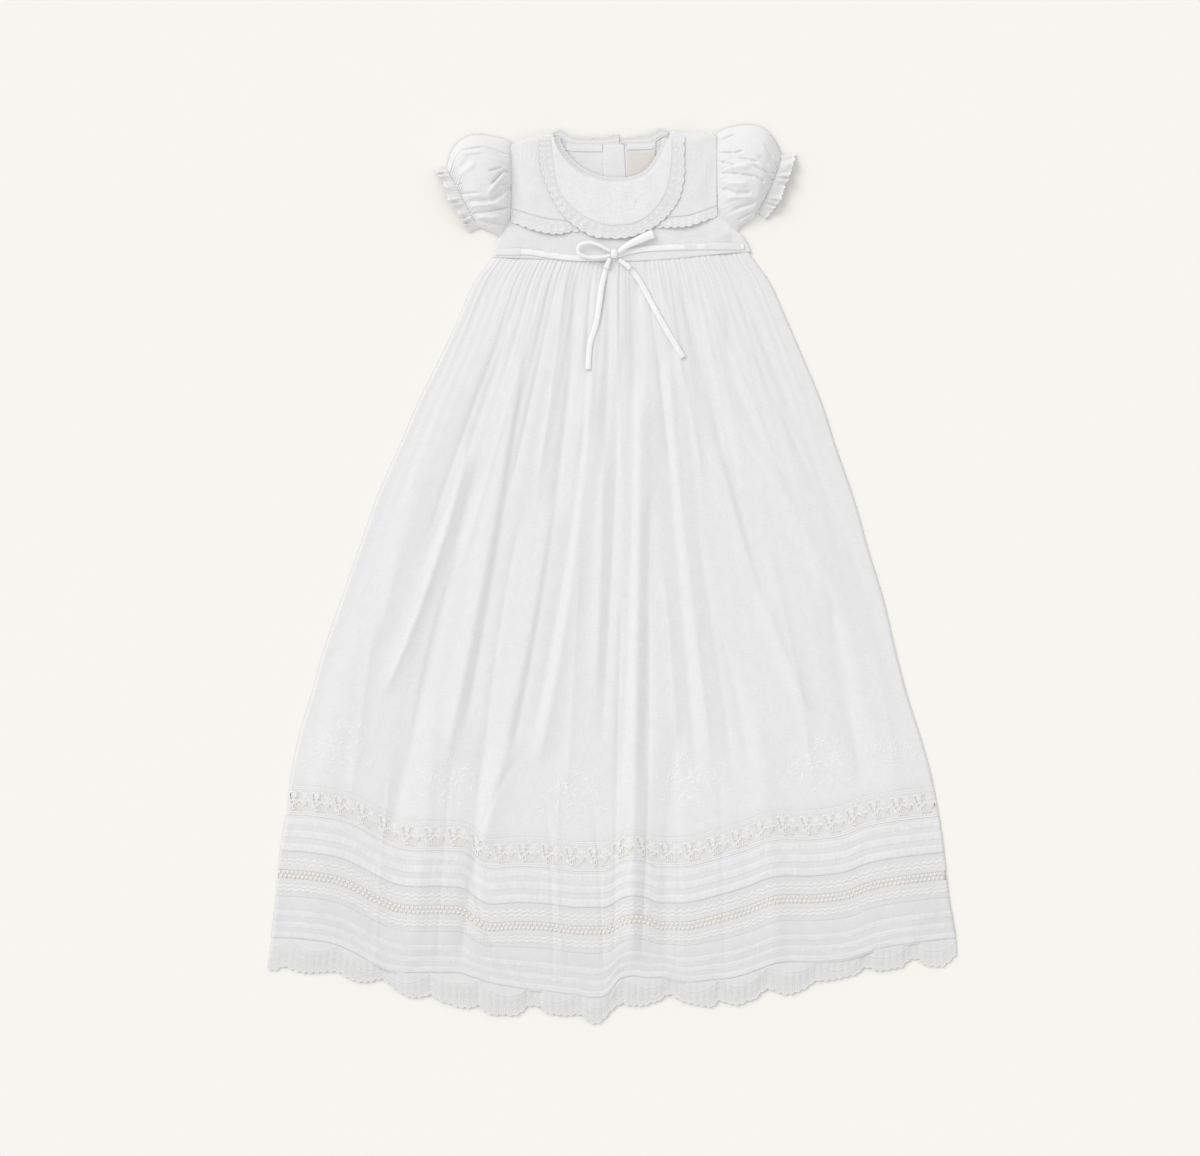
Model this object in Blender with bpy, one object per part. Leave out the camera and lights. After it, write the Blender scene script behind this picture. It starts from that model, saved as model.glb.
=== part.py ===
"""Baby's christening gown, laid flat on its back on a level surface.

The frame: +Z up from the surface, +Y towards the neck, +X to the right as seen from above.
The origin lies on the surface, below the middle of the gown. Tables and sizes are in millimetres,
and points become metres where a mesh is made.
"""
import math

import bmesh
import bpy

MM = 0.001

# Cloth walls and the gaps between pieces
BACK_WALL = 1.2
FRONT_WALL = 1.4
TRIM_WALL = 1.0
SEAM_GAP = 0.3
LAYER_GAP = 0.5
FRONT_BED = BACK_WALL + SEAM_GAP

# Skirt
SIDE_ROLL = 45.0
BODY_LIFT = 3.2
WAIST_LIFT = 1.3
WAIST_ROLL = 70.0
GATHER_COUNT = 56
GATHER_HEIGHT = 1.2
GATHER_REACH = 62.0
GATHER_UNEVEN = 30.0
FOLD_FADE = 40.0
GATHER_ROLL = 12.0
GATHER_TURN = 2.4

# Trim bands, each given by its top and bottom distance below the lace line. Their seams run
# straight between stations, so that neighbours with other numbers of columns meet evenly.
FRONT_STATIONS = 56
BACK_STATIONS = 28
LACE_BAND = (0.3, 27.5)
UPPER_TUCKS_BAND = (27.8, 60.7)
UPPER_TUCKS = ((30.4, 36.8), (41.4, 47.8), (53.4, 59.8))
BEADING_BAND = (61.0, 102.8)
LOWER_TUCKS_BAND = (103.1, 143.6)
LOWER_TUCKS = ((116.8, 122.4), (127.9, 133.4), (138.0, 143.0))
HEM_BAND_TOP = 143.9
TUCK_RISE = 1.1
TUCK_STEP = 0.5
LACE_REPEATS = 28
LACE_HOLE_SHARES = (0.0, 0.3, 0.5, 0.7)
LACE_HOLE_DROP = (16.8, 21.4)
SCALLOP_START = 0.028
SCALLOP_PITCH = 0.0697
SCALLOP_DEPTH = 12.0
SCALLOP_ROUNDNESS = 0.7
SCALLOP_SHIFT = 0.375
HEM_FANS = 14
HEM_LEAST = 3.0

# Bodice, collars and ribbon
BACK_OPENING = 2.0
BACK_LEAST = 4.0
SHOULDER_LEFT = -92.5
SHOULDER_RIGHT = 97.0
SHOULDER_LEVEL = 406.0
SHOULDER_OVERHANG = 6.0
SHOULDER_STEEPNESS = 2.0
WAIST_LEVEL = 289.0
NECK_LIFT = 1.9
NECK_LIFT_ROLL = 22.0
CAPE_TOP = 404.0
CAPE_LACE_CURL = 2.2
CAPE_LACE_RIPPLE = 1.2
NECK_LACE_WIDTH = 4.2
NECK_LACE_SET = 2.0
RIBBON_WIDTH = 5.5
RIBBON_WALL = 1.0
RIBBON_SET = 0.8
RIBBON_STATIONS = 33
LOOP_LEFT_STATIONS = 24
LOOP_RIGHT_STATIONS = 10
TAIL_STATIONS = 18
BOW_LEVEL = 280.0
BOW_FOOT = (-6.0, -4.5, -3.0, -1.5, 0.0, 1.5, 3.0, 4.5, 6.0)

# Puff sleeves
SLEEVE_WALL = 1.2
SLEEVE_RIM = 1.5
SLEEVE_INSET = 2.6
SLEEVE_TOP_STEPS = 24
SLEEVE_UNDER_STEPS = 6
SLEEVE_FULLNESS = 0.55
ARMHOLE_GAP = 0.7
ARMHOLE_CORNER = 333.0
ARMHOLE_CORNER_GAP = 1.4


class Table:
    """Sizes in named columns, read between the rows along a smooth curve."""

    def __init__(self, columns, *rows):
        names = columns.split()
        self.rows = [dict(zip(names, row)) for row in rows]
        self.names = names

    def __len__(self):
        return len(self.rows)

    def column(self, name):
        return [row[name] for row in self.rows]

    def straight(self, wanted, along, value):
        """Read along straight lines between the rows, which stand in rising order."""
        for low, high in zip(self.rows, self.rows[1:]):
            if value <= high[along]:
                t = max(0.0, value - low[along]) / (high[along] - low[along])
                return low[wanted] + (high[wanted] - low[wanted]) * t
        return self.rows[-1][wanted]

    def read(self, wanted, along, value):
        rows = sorted(self.rows, key=lambda row: row[along])
        xs = [row[along] for row in rows]
        ys = [row[wanted] for row in rows]
        if value <= xs[0]:
            return ys[0]
        if value >= xs[-1]:
            return ys[-1]
        i = max(k for k in range(len(xs) - 1) if xs[k] <= value)
        step = xs[i + 1] - xs[i]
        t = (value - xs[i]) / step
        slope = (ys[i + 1] - ys[i]) / step
        before = (ys[i] - ys[i - 1]) / (xs[i] - xs[i - 1]) if i > 0 else slope
        after = (ys[i + 2] - ys[i + 1]) / (xs[i + 2] - xs[i + 1]) if i + 2 < len(xs) else slope
        start = 0.5 * (slope + before) * step if slope * before > 0 else 0.0
        end = 0.5 * (slope + after) * step if slope * after > 0 else 0.0
        t2 = t * t
        t3 = t2 * t
        return ((2 * t3 - 3 * t2 + 1) * ys[i] + (t3 - 2 * t2 + t) * start
                + (3 * t2 - 2 * t3) * ys[i + 1] + (t3 - t2) * end)


SKIRT_SIDES = Table(
    "y left right",
    (296, -107, 126), (291, -109, 129), (270, -124, 144), (233, -141, 161), (196, -158, 177),
    (160, -176, 192), (114, -196, 207), (68, -216, 223), (22, -232, 236), (-24, -248, 250),
    (-70, -264, 261), (-116, -277, 273), (-153, -288, 285), (-190, -295, 295), (-227, -300, 302),
    (-264, -306, 307), (-300, -309, 311), (-337, -313, 317), (-367, -317, 318),
)
WAIST_SEAM = Table(
    "share y",
    (0.0, 290.3), (0.3, 287.7), (0.5, 286.6), (0.7, 289.0), (0.85, 292.5), (1.0, 295.6),
)
# The line where the first lace begins, pushed up and down by the folds of the skirt
LACE_LINE = Table(
    "share y",
    (0.0, -194), (0.05, -196), (0.1, -202), (0.15, -217), (0.18, -225), (0.25, -227), (0.28, -229),
    (0.3, -238), (0.32, -243), (0.36, -241.5), (0.4, -242.5), (0.45, -246), (0.485, -246),
    (0.5, -243), (0.515, -237), (0.53, -235), (0.55, -237), (0.57, -242), (0.6, -242), (0.65, -236),
    (0.7, -227), (0.74, -218), (0.8, -217), (0.85, -213), (0.88, -206), (0.92, -201), (1.0, -195.5),
)
HEM_DROP = Table(
    "share drop",
    (0.0, 171), (0.1, 167), (0.2, 163), (0.3, 166), (0.5, 165), (0.75, 167), (0.84, 159),
    (0.93, 157), (1.0, 154),
)
# Folds of the skirt front: three points of each crest, its half width, and its rise or dip
FOLDS = Table(
    "y1 x1 y2 x2 y3 x3 width rise",
    (176, -110, 114, -132, 40, -159, 9, -1.8), (91, -138, 20, -158, -80, -195, 8, 3.2),
    (70, -130, -35, -157, -222, -199, 12, -2.6), (173, -85, -11, -119, -145, -146, 11, 3.4),
    (176, -82, 11, -107, -118, -130, 8, -2.2), (40, -57, -67, -77, -236, -116, 13, 3.2),
    (252, -33, 115, -45, -134, -85, 8, -2.6), (111, -27, -34, -49, -118, -65, 8, -2.0),
    (156, -19, -1, -36, -145, -61, 10, 2.8), (287, -8, 178, -3, 111, -7, 7, -1.6),
    (104, -8, -22, -11, -79, -13, 8, 2.0), (178, 8, 22, 1, -123, -7, 6, -1.6),
    (252, 22, 34, 19, -170, 10, 8, -2.6), (140, 26, -112, 22, -330, 19, 12, 4.6),
    (45, 35, -101, 32, -170, 31, 7, -1.8), (167, 53, 22, 68, -138, 87, 9, 2.6),
    (178, 47, -11, 63, -156, 76, 8, -2.2), (233, 72, 111, 103, -11, 136, 9, -2.6),
    (89, 104, 6, 129, -107, 172, 10, 3.2), (215, 107, 151, 123, 111, 145, 9, -1.8),
    (93, 147, 49, 172, -11, 201, 12, 2.4), (265, 116, 111, 183, -76, 259, 10, -2.6),
    (-79, 107, -118, 116, -156, 123, 8, -1.6), (-45, 203, -110, 212, -170, 228, 11, -1.8),
    (160, -158, 48, -190, -35, -208, 14, 1.8), (-70, -240, -110, -252, -190, -268, 16, 1.6),
    (-150, -165, -250, -172, -330, -180, 16, 2.4), (-180, -120, -260, -127, -330, -135, 9, -2.4),
    (-160, 60, -240, 52, -330, 50, 12, -2.2), (-150, 135, -240, 145, -330, 150, 18, 2.2),
)
# Bodice side seams, by the share of the way down from the shoulder to the waist, and where each runs
BODICE_SIDES = Table(
    "share left right",
    (0.0, -92.5, 97), (0.32, -92.5, 97), (0.62, -92.5, 97), (0.7, -95.5, 101), (0.78, -100, 109),
    (0.85, -104.5, 120), (0.92, -107, 124.5), (1.0, -109, 128.5),
)
SIDE_SEAM_ENDS = {"left": (394.0, 290.3), "right": (401.6, 295.6)}
# The upper edge of the bodice front: shoulder seam, front neckline, shoulder seam
FRONT_TOP_EDGE = Table(
    "x y",
    (-92.5, 394), (-75, 400), (-60, 402.5), (-54.3, 404), (-53.4, 402), (-51.1, 394), (-44.6, 383),
    (-36.3, 374), (-26.2, 366.6), (-15.2, 362), (-4.1, 359.3), (9.7, 358.8), (22.5, 361), (33.6, 366.6),
    (41.9, 375.8), (48.3, 387.8), (52.5, 399), (53.8, 404.3), (63, 405.3), (81.4, 404.3), (97, 401.6),
)
BACK_TOP_EDGE = Table(
    "x y",
    (-92.5, 394), (-75, 400), (-56, 403), (-47, 401), (-42, 397.5), (-34, 395), (0, 395), (8, 396.5),
    (35, 395.5), (42, 398.5), (48, 402.5), (63, 405), (81.4, 404.3), (97, 401.6),
)
# Round collar: its neck edge, its outer seam and the outer edge of its lace, from left to right
ROUND_COLLAR = Table(
    "neck_x neck_y seam_x seam_y lace_x lace_y",
    (-52.9, 400.7, -54.9, 400.5, -64.9, 401.6), (-51.1, 394.2, -53.6, 388.0, -65.8, 387.8),
    (-44.6, 383.2, -51.3, 369.4, -63.9, 369.4), (-36.3, 374.0, -47.4, 351.9, -56.6, 350.1),
    (-26.2, 366.6, -38.2, 339.0, -47.4, 332.6), (-15.2, 362.0, -25.3, 328.0, -31.7, 317.9),
    (-4.1, 359.3, -6.9, 320.2, -9.7, 308.2), (9.7, 358.8, 12.4, 319.7, 15.2, 308.7),
    (22.5, 361.0, 30.8, 326.1, 38.2, 317.9), (33.6, 366.6, 43.7, 339.0, 53.8, 331.7),
    (41.9, 375.8, 51.1, 352.8, 63.0, 347.3), (48.3, 387.8, 54.7, 373.1, 66.7, 371.2),
    (52.4, 399.0, 56.1, 399.7, 66.7, 401.5),
)
# Square cape: its lower seam, how deep its lace hangs, and how much that lace curls up
SQUARE_CAPE = Table(
    "x y drop curl",
    (-91.5, 335.3, 12, 0.0), (-75, 329.8, 13, 0.6), (-61, 326.1, 13, 1.0), (-46, 324.2, 12, 1.0),
    (-36, 323.4, 9, 0.0), (0, 322.5, 9, 0.0), (40, 327.0, 9, 0.0), (56, 327.1, 9, 0.8),
    (72, 328.9, 9.5, 1.0), (84, 333.0, 9.5, 0.5), (96, 337.2, 9, 0.0),
)
NECK_LACE_LEFT = Table(
    "x seam edge",
    (-53.4, 403.8, 405.0), (-46.5, 401.4, 408.8), (-42, 398.2, 405.9), (-35, 395.6, 401.6),
    (-20, 395.4, 400.9), (-6, 395.4, 401.6), (6.9, 396.8, 404.8),
)
NECK_LACE_RIGHT = Table(
    "x seam edge",
    (8.7, 396.8, 399.8), (17, 396.2, 401.1), (28, 396.0, 403.0), (35, 396.2, 404.0),
    (41, 398.6, 407.6), (45.5, 402.1, 410.2), (52, 404.5, 406.9),
)
# Inside the back neck: facings, button placket and the blank neck label, by their four edges
INSIDE_NECK = {
    "neck_facing_left": Table("x low high", (-43, 389.0, 396.6), (-34, 388.0, 394.6), (-8.2, 387.8, 394.6)),
    "neck_facing_right": Table("x low high", (13.8, 389.6, 394.9), (35, 390.0, 395.1), (41, 391.5, 397.6)),
    "placket": Table("x low high", (-7.8, 330.0, 394.6), (6.0, 330.0, 395.2), (11.6, 330.0, 394.4)),
    "neck_label": Table("x low high", (14.3, 361.4, 388.9), (40.9, 361.9, 389.9)),
}
PLACKET_SLANT = 3.6
LABEL_WALL = 0.6
WAIST_RIBBON = Table(
    "x y",
    (-106, 295.4), (-80, 295.4), (-61, 293.1), (-43, 290.6), (-24, 289.6), (0, 291.5), (17, 295.8),
    (31, 298.2), (45, 299.0), (63, 299.9), (100, 300.4), (122, 300.2),
)
BOW_LOOP_LEFT = Table(
    "x y width lift",
    (-1.3, 295.8, 3.0, 1.2), (-10, 300.5, 3.4, 2.0), (-20, 303.5, 3.6, 2.4), (-28.5, 301.5, 3.6, 2.2),
    (-31, 296.5, 3.6, 1.8), (-27, 291.8, 3.6, 1.4), (-16, 289.6, 3.4, 1.0), (-8, 290.4, 3.0, 0.8),
    (-1.3, 291.8, 2.8, 0.6),
)
BOW_LOOP_RIGHT = Table(
    "x y width lift",
    (6.5, 294.8, 4.0, 0.8), (13, 300.0, 5.5, 1.4), (22, 304.6, 7.0, 1.8), (31, 308.6, 8.0, 2.0),
    (38.4, 311.6, 8.8, 1.8),
)
BOW_TAIL_LEFT = Table(
    "x y width",
    (-1.5, 289.0, 3.6), (-4.6, 281.5, 4.6), (-8.5, 266, 5.2), (-10.6, 251.6, 5.2), (-14.3, 228.6, 5.2),
    (-19.8, 210.2, 5.2), (-21.6, 187.2, 5.2),
)
BOW_TAIL_RIGHT = Table(
    "x y width",
    (6.8, 288.0, 3.8), (16, 281, 4.8), (25, 270, 5.2), (40, 242.4, 5.2), (54, 217.6, 5.2),
    (65.8, 198.3, 5.2),
)
BOW_KNOT_CENTRE = (2.2, 293.6)
BOW_KNOT_SIZE = (6.6, 8.4, 3.4)
# Sleeve rings from armhole to cuff: the shoulder end and the underarm end of each, how far it bends
# to the armhole seam, how far its middle bows towards the body, its height, and the rise of its
# gathers. The left sleeve is the one at -X.
SLEEVES = {
    "left": Table(
        "top_x top_y under_x under_y hug bow height gather",
        (-93.2, 394.2, -106.3, 307.6, 1.0, 0.0, 7, 0.7),
        (-101, 397.4, -108.1, 309.6, 0.7, 0.5, 14, 0.9),
        (-113.6, 401.1, -111.3, 312.0, 0.35, 1.5, 21.5, 0.5),
        (-127.4, 403.4, -114.1, 314.4, 0.1, 2.0, 25, 0.3),
        (-139, 397.9, -117.3, 316.4, 0.0, 1.5, 24, 0.6),
        (-147, 388.0, -120.1, 317.6, 0.0, 0.5, 18, 1.0),
        (-151.5, 373.0, -122.4, 318.2, 0.0, 0.0, 10.5, 0.9),
    ),
    "right": Table(
        "top_x top_y under_x under_y hug bow height gather",
        (98.0, 401.6, 121.9, 311.0, 1.0, 0.0, 7, 0.7),
        (106.3, 405.7, 123.6, 315.0, 0.7, 0.5, 14, 0.9),
        (117.3, 410.3, 126.0, 319.0, 0.35, 0.5, 21.5, 0.5),
        (129.3, 412.6, 128.4, 323.0, 0.1, 0.0, 25, 0.3),
        (142.5, 407.8, 130.2, 326.6, 0.0, -1.0, 24, 0.6),
        (150.5, 397.0, 132.0, 329.8, 0.0, -2.0, 18, 1.0),
        (156.0, 385.4, 133.9, 332.4, 0.0, -2.8, 10.5, 0.9),
    ),
}
CUFF_FRILLS = {
    "left": Table(
        "top_x top_y under_x under_y hug bow height gather",
        (-151.9, 372.5, -122.9, 317.6, 0.0, 0.0, 10.5, 0.9),
        (-157.4, 372.4, -127.6, 314.8, 0.0, -1.5, 11.0, 1.6),
        (-162.4, 371.6, -132.4, 312.6, 0.0, -3.4, 12.0, 2.1),
    ),
    "right": Table(
        "top_x top_y under_x under_y hug bow height gather",
        (156.6, 384.9, 134.4, 331.7, 0.0, -2.8, 10.5, 0.9),
        (162.0, 385.6, 138.2, 328.6, 0.0, -4.0, 11.0, 1.6),
        (167.4, 386.9, 142.0, 325.8, 0.0, -5.2, 12.0, 2.1),
    ),
}

COTTON = (0.80, 0.80, 0.82)
FINISHES = {
    "lawn": (COTTON, 0.85),
    "lace": ((0.78, 0.78, 0.79), 0.8),
    "satin": ((0.84, 0.84, 0.89), 0.35),
    "label": ((0.78, 0.70, 0.58), 0.7),
}


def clear_scene():
    for thing in list(bpy.data.objects):
        bpy.data.objects.remove(thing, do_unlink=True)


def new_collection(name):
    group = bpy.data.collections.new(name)
    bpy.context.scene.collection.children.link(group)
    return group


def cloth_material(name, finish):
    colour, roughness = FINISHES[finish]
    material = bpy.data.materials.new(name + "_" + finish)
    material.use_nodes = True
    shader = material.node_tree.nodes["Principled BSDF"]
    shader.inputs["Base Color"].default_value = (*colour, 1.0)
    shader.inputs["Roughness"].default_value = roughness
    shader.inputs["Metallic"].default_value = 0.0
    return material


def finish_object(name, mesh, finish, group):
    """Turn a closed bmesh into a named object of the gown."""
    bmesh.ops.recalc_face_normals(mesh, faces=mesh.faces[:])
    data = bpy.data.meshes.new(name)
    mesh.to_mesh(data)
    mesh.free()
    piece = bpy.data.objects.new(name, data)
    data.materials.append(cloth_material(name, finish))
    group.objects.link(piece)
    return piece


def smooth(share):
    share = min(1.0, max(0.0, share))
    return share * share * (3.0 - 2.0 * share)


def cloth_panel(name, columns, rows, place, finish, group, wall=FRONT_WALL, fine_rows=0, holes=None,
                raised=None):
    """A wall of cloth from a grid of columns and rows.

    place(i, j) gives x, y and the height of the underside at column i and row j, where row 0 is the
    upper edge. The outer side stands straight above the underside, so that the wall never crosses
    itself. The edges of the first fine_rows rows are halved. holes(i, j) names the cells cut out.
    raised gives what each row adds to the outer side alone, over an inside with no rows between.
    """
    mesh = bmesh.new()
    bmesh.ops.create_grid(mesh, x_segments=columns, y_segments=rows, size=0.5)
    if holes:
        cut = []
        for face in mesh.faces:
            centre = face.calc_center_median()
            column = int((centre.x + 0.5) * columns)
            row = int((0.5 - centre.y) * rows)
            if holes(column, row):
                cut.append(face)
        bmesh.ops.delete(mesh, geom=cut, context="FACES")
    if fine_rows:
        level = 0.5 - (fine_rows - 0.5) / rows
        across = [edge for edge in mesh.edges
                  if abs(edge.verts[0].co.y - edge.verts[1].co.y) < 1e-6 and edge.verts[0].co.y > level]
        bmesh.ops.subdivide_edges(mesh, edges=across, cuts=1, use_single_edge=True)
    under = set(mesh.verts)
    bmesh.ops.extrude_face_region(mesh, geom=mesh.faces[:])
    for vert in mesh.verts:
        i = (vert.co.x + 0.5) * columns
        j = (0.5 - vert.co.y) * rows
        x, y, z = place(i, round(j))
        if vert not in under:
            z += wall + (raised[round(j)] if raised else 0.0)
        vert.co = (x * MM, y * MM, z * MM)
    if raised:
        inner = [edge for edge in mesh.edges if all(vert in under for vert in edge.verts)]
        lengthways = [edge for edge in inner if not edge.is_boundary and all(
            all(vert in under for vert in face.verts) for face in edge.link_faces)
            and abs(edge.verts[0].co.y - edge.verts[1].co.y) < abs(edge.verts[0].co.x - edge.verts[1].co.x)]
        bmesh.ops.dissolve_edges(mesh, edges=lengthways, use_verts=True)
    return finish_object(name, mesh, finish, group)


def across_skirt(share, y):
    """The x of a point that lies a share of the way from the left side seam to the right one."""
    left = SKIRT_SIDES.read("left", "y", y)
    right = SKIRT_SIDES.read("right", "y", y)
    return left + (right - left) * share


def fold_rise(fold, x, y):
    """What one fold adds to the skirt's height at a point."""
    if y > fold["y1"] + FOLD_FADE or y < fold["y3"] - FOLD_FADE:
        return 0.0
    y1, y2, y3 = fold["y1"], fold["y2"], fold["y3"]
    crest = (fold["x1"] * (y - y2) * (y - y3) / ((y1 - y2) * (y1 - y3))
             + fold["x2"] * (y - y1) * (y - y3) / ((y2 - y1) * (y2 - y3))
             + fold["x3"] * (y - y1) * (y - y2) / ((y3 - y1) * (y3 - y2)))
    fade = smooth((y1 + FOLD_FADE - y) / FOLD_FADE) * smooth((y - y3 + FOLD_FADE) / FOLD_FADE)
    return fold["rise"] * fade * math.exp(-((x - crest) / fold["width"]) ** 2)


def skirt_under(share, y):
    """Height of the underside of the skirt front."""
    x = across_skirt(share, y)
    left = SKIRT_SIDES.read("left", "y", y)
    right = SKIRT_SIDES.read("right", "y", y)
    inward = min(x - left, right - x)
    below = max(0.0, WAIST_SEAM.read("y", "share", share) - y)
    rise = WAIST_LIFT + (BODY_LIFT - WAIST_LIFT) * smooth(below / WAIST_ROLL)
    rise += sum(fold_rise(fold, x, y) for fold in FOLDS.rows)
    number = share * GATHER_COUNT
    reach = GATHER_REACH + GATHER_UNEVEN * math.sin(GATHER_TURN * math.floor(number + 0.5))
    gather = GATHER_HEIGHT * math.cos(2 * math.pi * number) * math.exp(-below / reach)
    return FRONT_BED + max(0.0, smooth(inward / SIDE_ROLL) * rise + smooth(inward / GATHER_ROLL) * gather)


def skirt_front(group):
    levels = (0.0, 0.04, 0.1, 0.19, 0.31, 0.46, 0.63, 0.81, 1.0)
    columns = 2 * GATHER_COUNT

    def place(i, j):
        share = i / columns
        top = WAIST_SEAM.read("y", "share", share) - SEAM_GAP
        y = top + (LACE_LINE.read("y", "share", share) - top) * levels[j]
        x = across_skirt(share, y)
        if j == len(levels) - 1:
            x, y = band_point(share, 0.0, FRONT_STATIONS)
        return x, y, skirt_under(share, y)

    cloth_panel("skirt_front", columns, len(levels) - 1, place, "lawn", group, fine_rows=2)


def skirt_back(group):
    levels = (0.0, 0.08, 0.16, 0.3, 0.45, 0.6, 0.75, 0.88, 1.0)
    columns = BACK_STATIONS

    def place(i, j):
        share = i / columns
        top = WAIST_SEAM.read("y", "share", share) - SEAM_GAP
        y = top + (LACE_LINE.read("y", "share", share) - top) * levels[j]
        return across_skirt(share, y), y, 0.0

    cloth_panel("skirt_back", columns, len(levels) - 1, place, "lawn", group, wall=BACK_WALL)


def band_point(share, drop, stations):
    """A point a given drop below the lace line, on the straight run between two stations."""
    first = min(math.floor(share * stations + 1e-6), stations - 1)
    part = share * stations - first
    ends = []
    for number in (first, first + 1):
        y = LACE_LINE.read("y", "share", number / stations) - drop
        ends.append((across_skirt(number / stations, y), y))
    return tuple(a + (b - a) * part for a, b in zip(*ends))


def back_band(name, band, finish, group):
    """The flat back of a trim band."""
    def place(i, j):
        x, y = band_point(i / BACK_STATIONS, band[j], BACK_STATIONS)
        return x, y, 0.0

    cloth_panel(name, BACK_STATIONS, 1, place, finish, group, wall=BACK_WALL)


def insertion_lace(group):
    """Flower lace, with the widest gap of each repeat cut through."""
    drops = (LACE_BAND[0], *LACE_HOLE_DROP, LACE_BAND[1])
    parts = len(LACE_HOLE_SHARES)

    def place(i, j):
        i = round(i)
        inside = j in (1, 2)
        part = LACE_HOLE_SHARES[i % parts] if inside else i % parts / parts
        share = (i // parts + part) / LACE_REPEATS
        x, y = band_point(share, drops[j], FRONT_STATIONS)
        return x, y, skirt_under(share, y)

    cloth_panel("insertion_lace_front", parts * LACE_REPEATS, 3, place, "lace", group, wall=TRIM_WALL,
                holes=lambda i, j: i % parts in (1, 2) and j == 1)
    back_band("insertion_lace_back", LACE_BAND, "lace", group)


def tuck_band(name, band, tucks, group):
    """A band with three sewn tucks, each a flat pleat whose lower edge stands proud."""
    drops = [band[0]]
    rises = [0.0]
    for top, bottom in tucks:
        drops += [top, bottom, min(bottom + TUCK_STEP, band[1] - 0.1)]
        rises += [0.0, TUCK_RISE, 0.0]
    drops.append(band[1])
    rises.append(0.0)

    def place(i, j):
        share = i / FRONT_STATIONS
        x, y = band_point(share, drops[j], FRONT_STATIONS)
        return x, y, skirt_under(share, y)

    cloth_panel(name, FRONT_STATIONS, len(drops) - 1, place, "lawn", group, raised=rises)


def tuck_bands(group):
    tuck_band("tuck_band_upper_front", UPPER_TUCKS_BAND, UPPER_TUCKS, group)
    tuck_band("tuck_band_lower_front", LOWER_TUCKS_BAND, LOWER_TUCKS, group)
    back_band("tuck_band_upper_back", UPPER_TUCKS_BAND, "lawn", group)
    back_band("tuck_band_lower_back", LOWER_TUCKS_BAND, "lawn", group)


def beading_lace(group):
    def place(i, j):
        share = i / FRONT_STATIONS
        x, y = band_point(share, BEADING_BAND[j], FRONT_STATIONS)
        return x, y, skirt_under(share, y)

    cloth_panel("beading_lace_front", FRONT_STATIONS, 1, place, "lace", group, wall=TRIM_WALL)
    back_band("beading_lace_back", BEADING_BAND, "lace", group)


def hem_lace(name, group, front, steps, shorter):
    """Deep lace at the hem, cut in fans."""
    columns = HEM_FANS * steps
    stations = FRONT_STATIONS if front else BACK_STATIONS

    def place(i, j):
        share = i / columns
        if j == 0:
            x, y = band_point(share, HEM_BAND_TOP, stations)
            return x, y, skirt_under(share, y) if front else 0.0
        if 0 < i < columns:
            share = SCALLOP_START + SCALLOP_PITCH * (round(i) - SCALLOP_SHIFT * steps) / steps
        turn = (share - SCALLOP_START) / SCALLOP_PITCH
        notch = 1.0 - abs(math.sin(math.pi * turn)) ** SCALLOP_ROUNDNESS
        drop = HEM_DROP.read("drop", "share", share) - shorter
        tip = max(drop - SCALLOP_DEPTH * notch, HEM_BAND_TOP + HEM_LEAST)
        y = LACE_LINE.read("y", "share", share) - tip
        return across_skirt(share, y), y, skirt_under(share, y) if front else 0.0

    cloth_panel(name, columns, 1, place, "lace", group, wall=TRIM_WALL if front else BACK_WALL)


def bodice_side(side, y):
    top, low = SIDE_SEAM_ENDS[side]
    return BODICE_SIDES.straight(side, "share", (top - y) / (top - low))


def bodice_under(x, y):
    """Height of the underside of the bodice front: raised clear of what lies inside the neck."""
    left = bodice_side("left", y)
    right = bodice_side("right", y)
    shoulder = BACK_TOP_EDGE.read("y", "x", x)
    below = min(SHOULDER_LEVEL - y, shoulder + SHOULDER_OVERHANG - y)
    inward = min(x - left, right - x, SHOULDER_STEEPNESS * max(0.0, below))
    return FRONT_BED + NECK_LIFT * smooth(inward / NECK_LIFT_ROLL)


def upright_panel(name, top_edge, low_edge, levels, under, finish, group, wall, widen=None):
    """A panel whose columns hang from the points of a top edge down to a lower edge."""
    xs = top_edge.column("x")

    def place(i, j):
        k = min(int(i), len(xs) - 1)
        x = xs[k]
        top = top_edge.rows[k]["y"]
        low = low_edge(x)
        y = top + (low - top) * levels[j]
        if widen:
            x = widen(x, j)
        return x, y, under(x, y)

    cloth_panel(name, len(xs) - 1, len(levels) - 1, place, finish, group, wall=wall)


def widen_between(x, j, left, right):
    """Fan columns out to the bodice's side seams, from an inner line that stays upright."""
    start = BODICE_SIDES.rows[0]
    row = BODICE_SIDES.rows[j]
    low = row["left"] if left is None else left
    high = row["right"] if right is None else right
    first = start["left"] if left is None else left
    last = start["right"] if right is None else right
    return low + (high - low) * (x - first) / (last - first)


def waist_at(x):
    return WAIST_SEAM.read("y", "share", (x - SHOULDER_LEFT) / (SHOULDER_RIGHT - SHOULDER_LEFT))


def bodice_front(group):
    upright_panel("bodice_front", FRONT_TOP_EDGE, waist_at, BODICE_SIDES.column("share"), bodice_under,
                  "lawn", group, wall=FRONT_WALL, widen=lambda x, j: widen_between(x, j, None, None))


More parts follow.
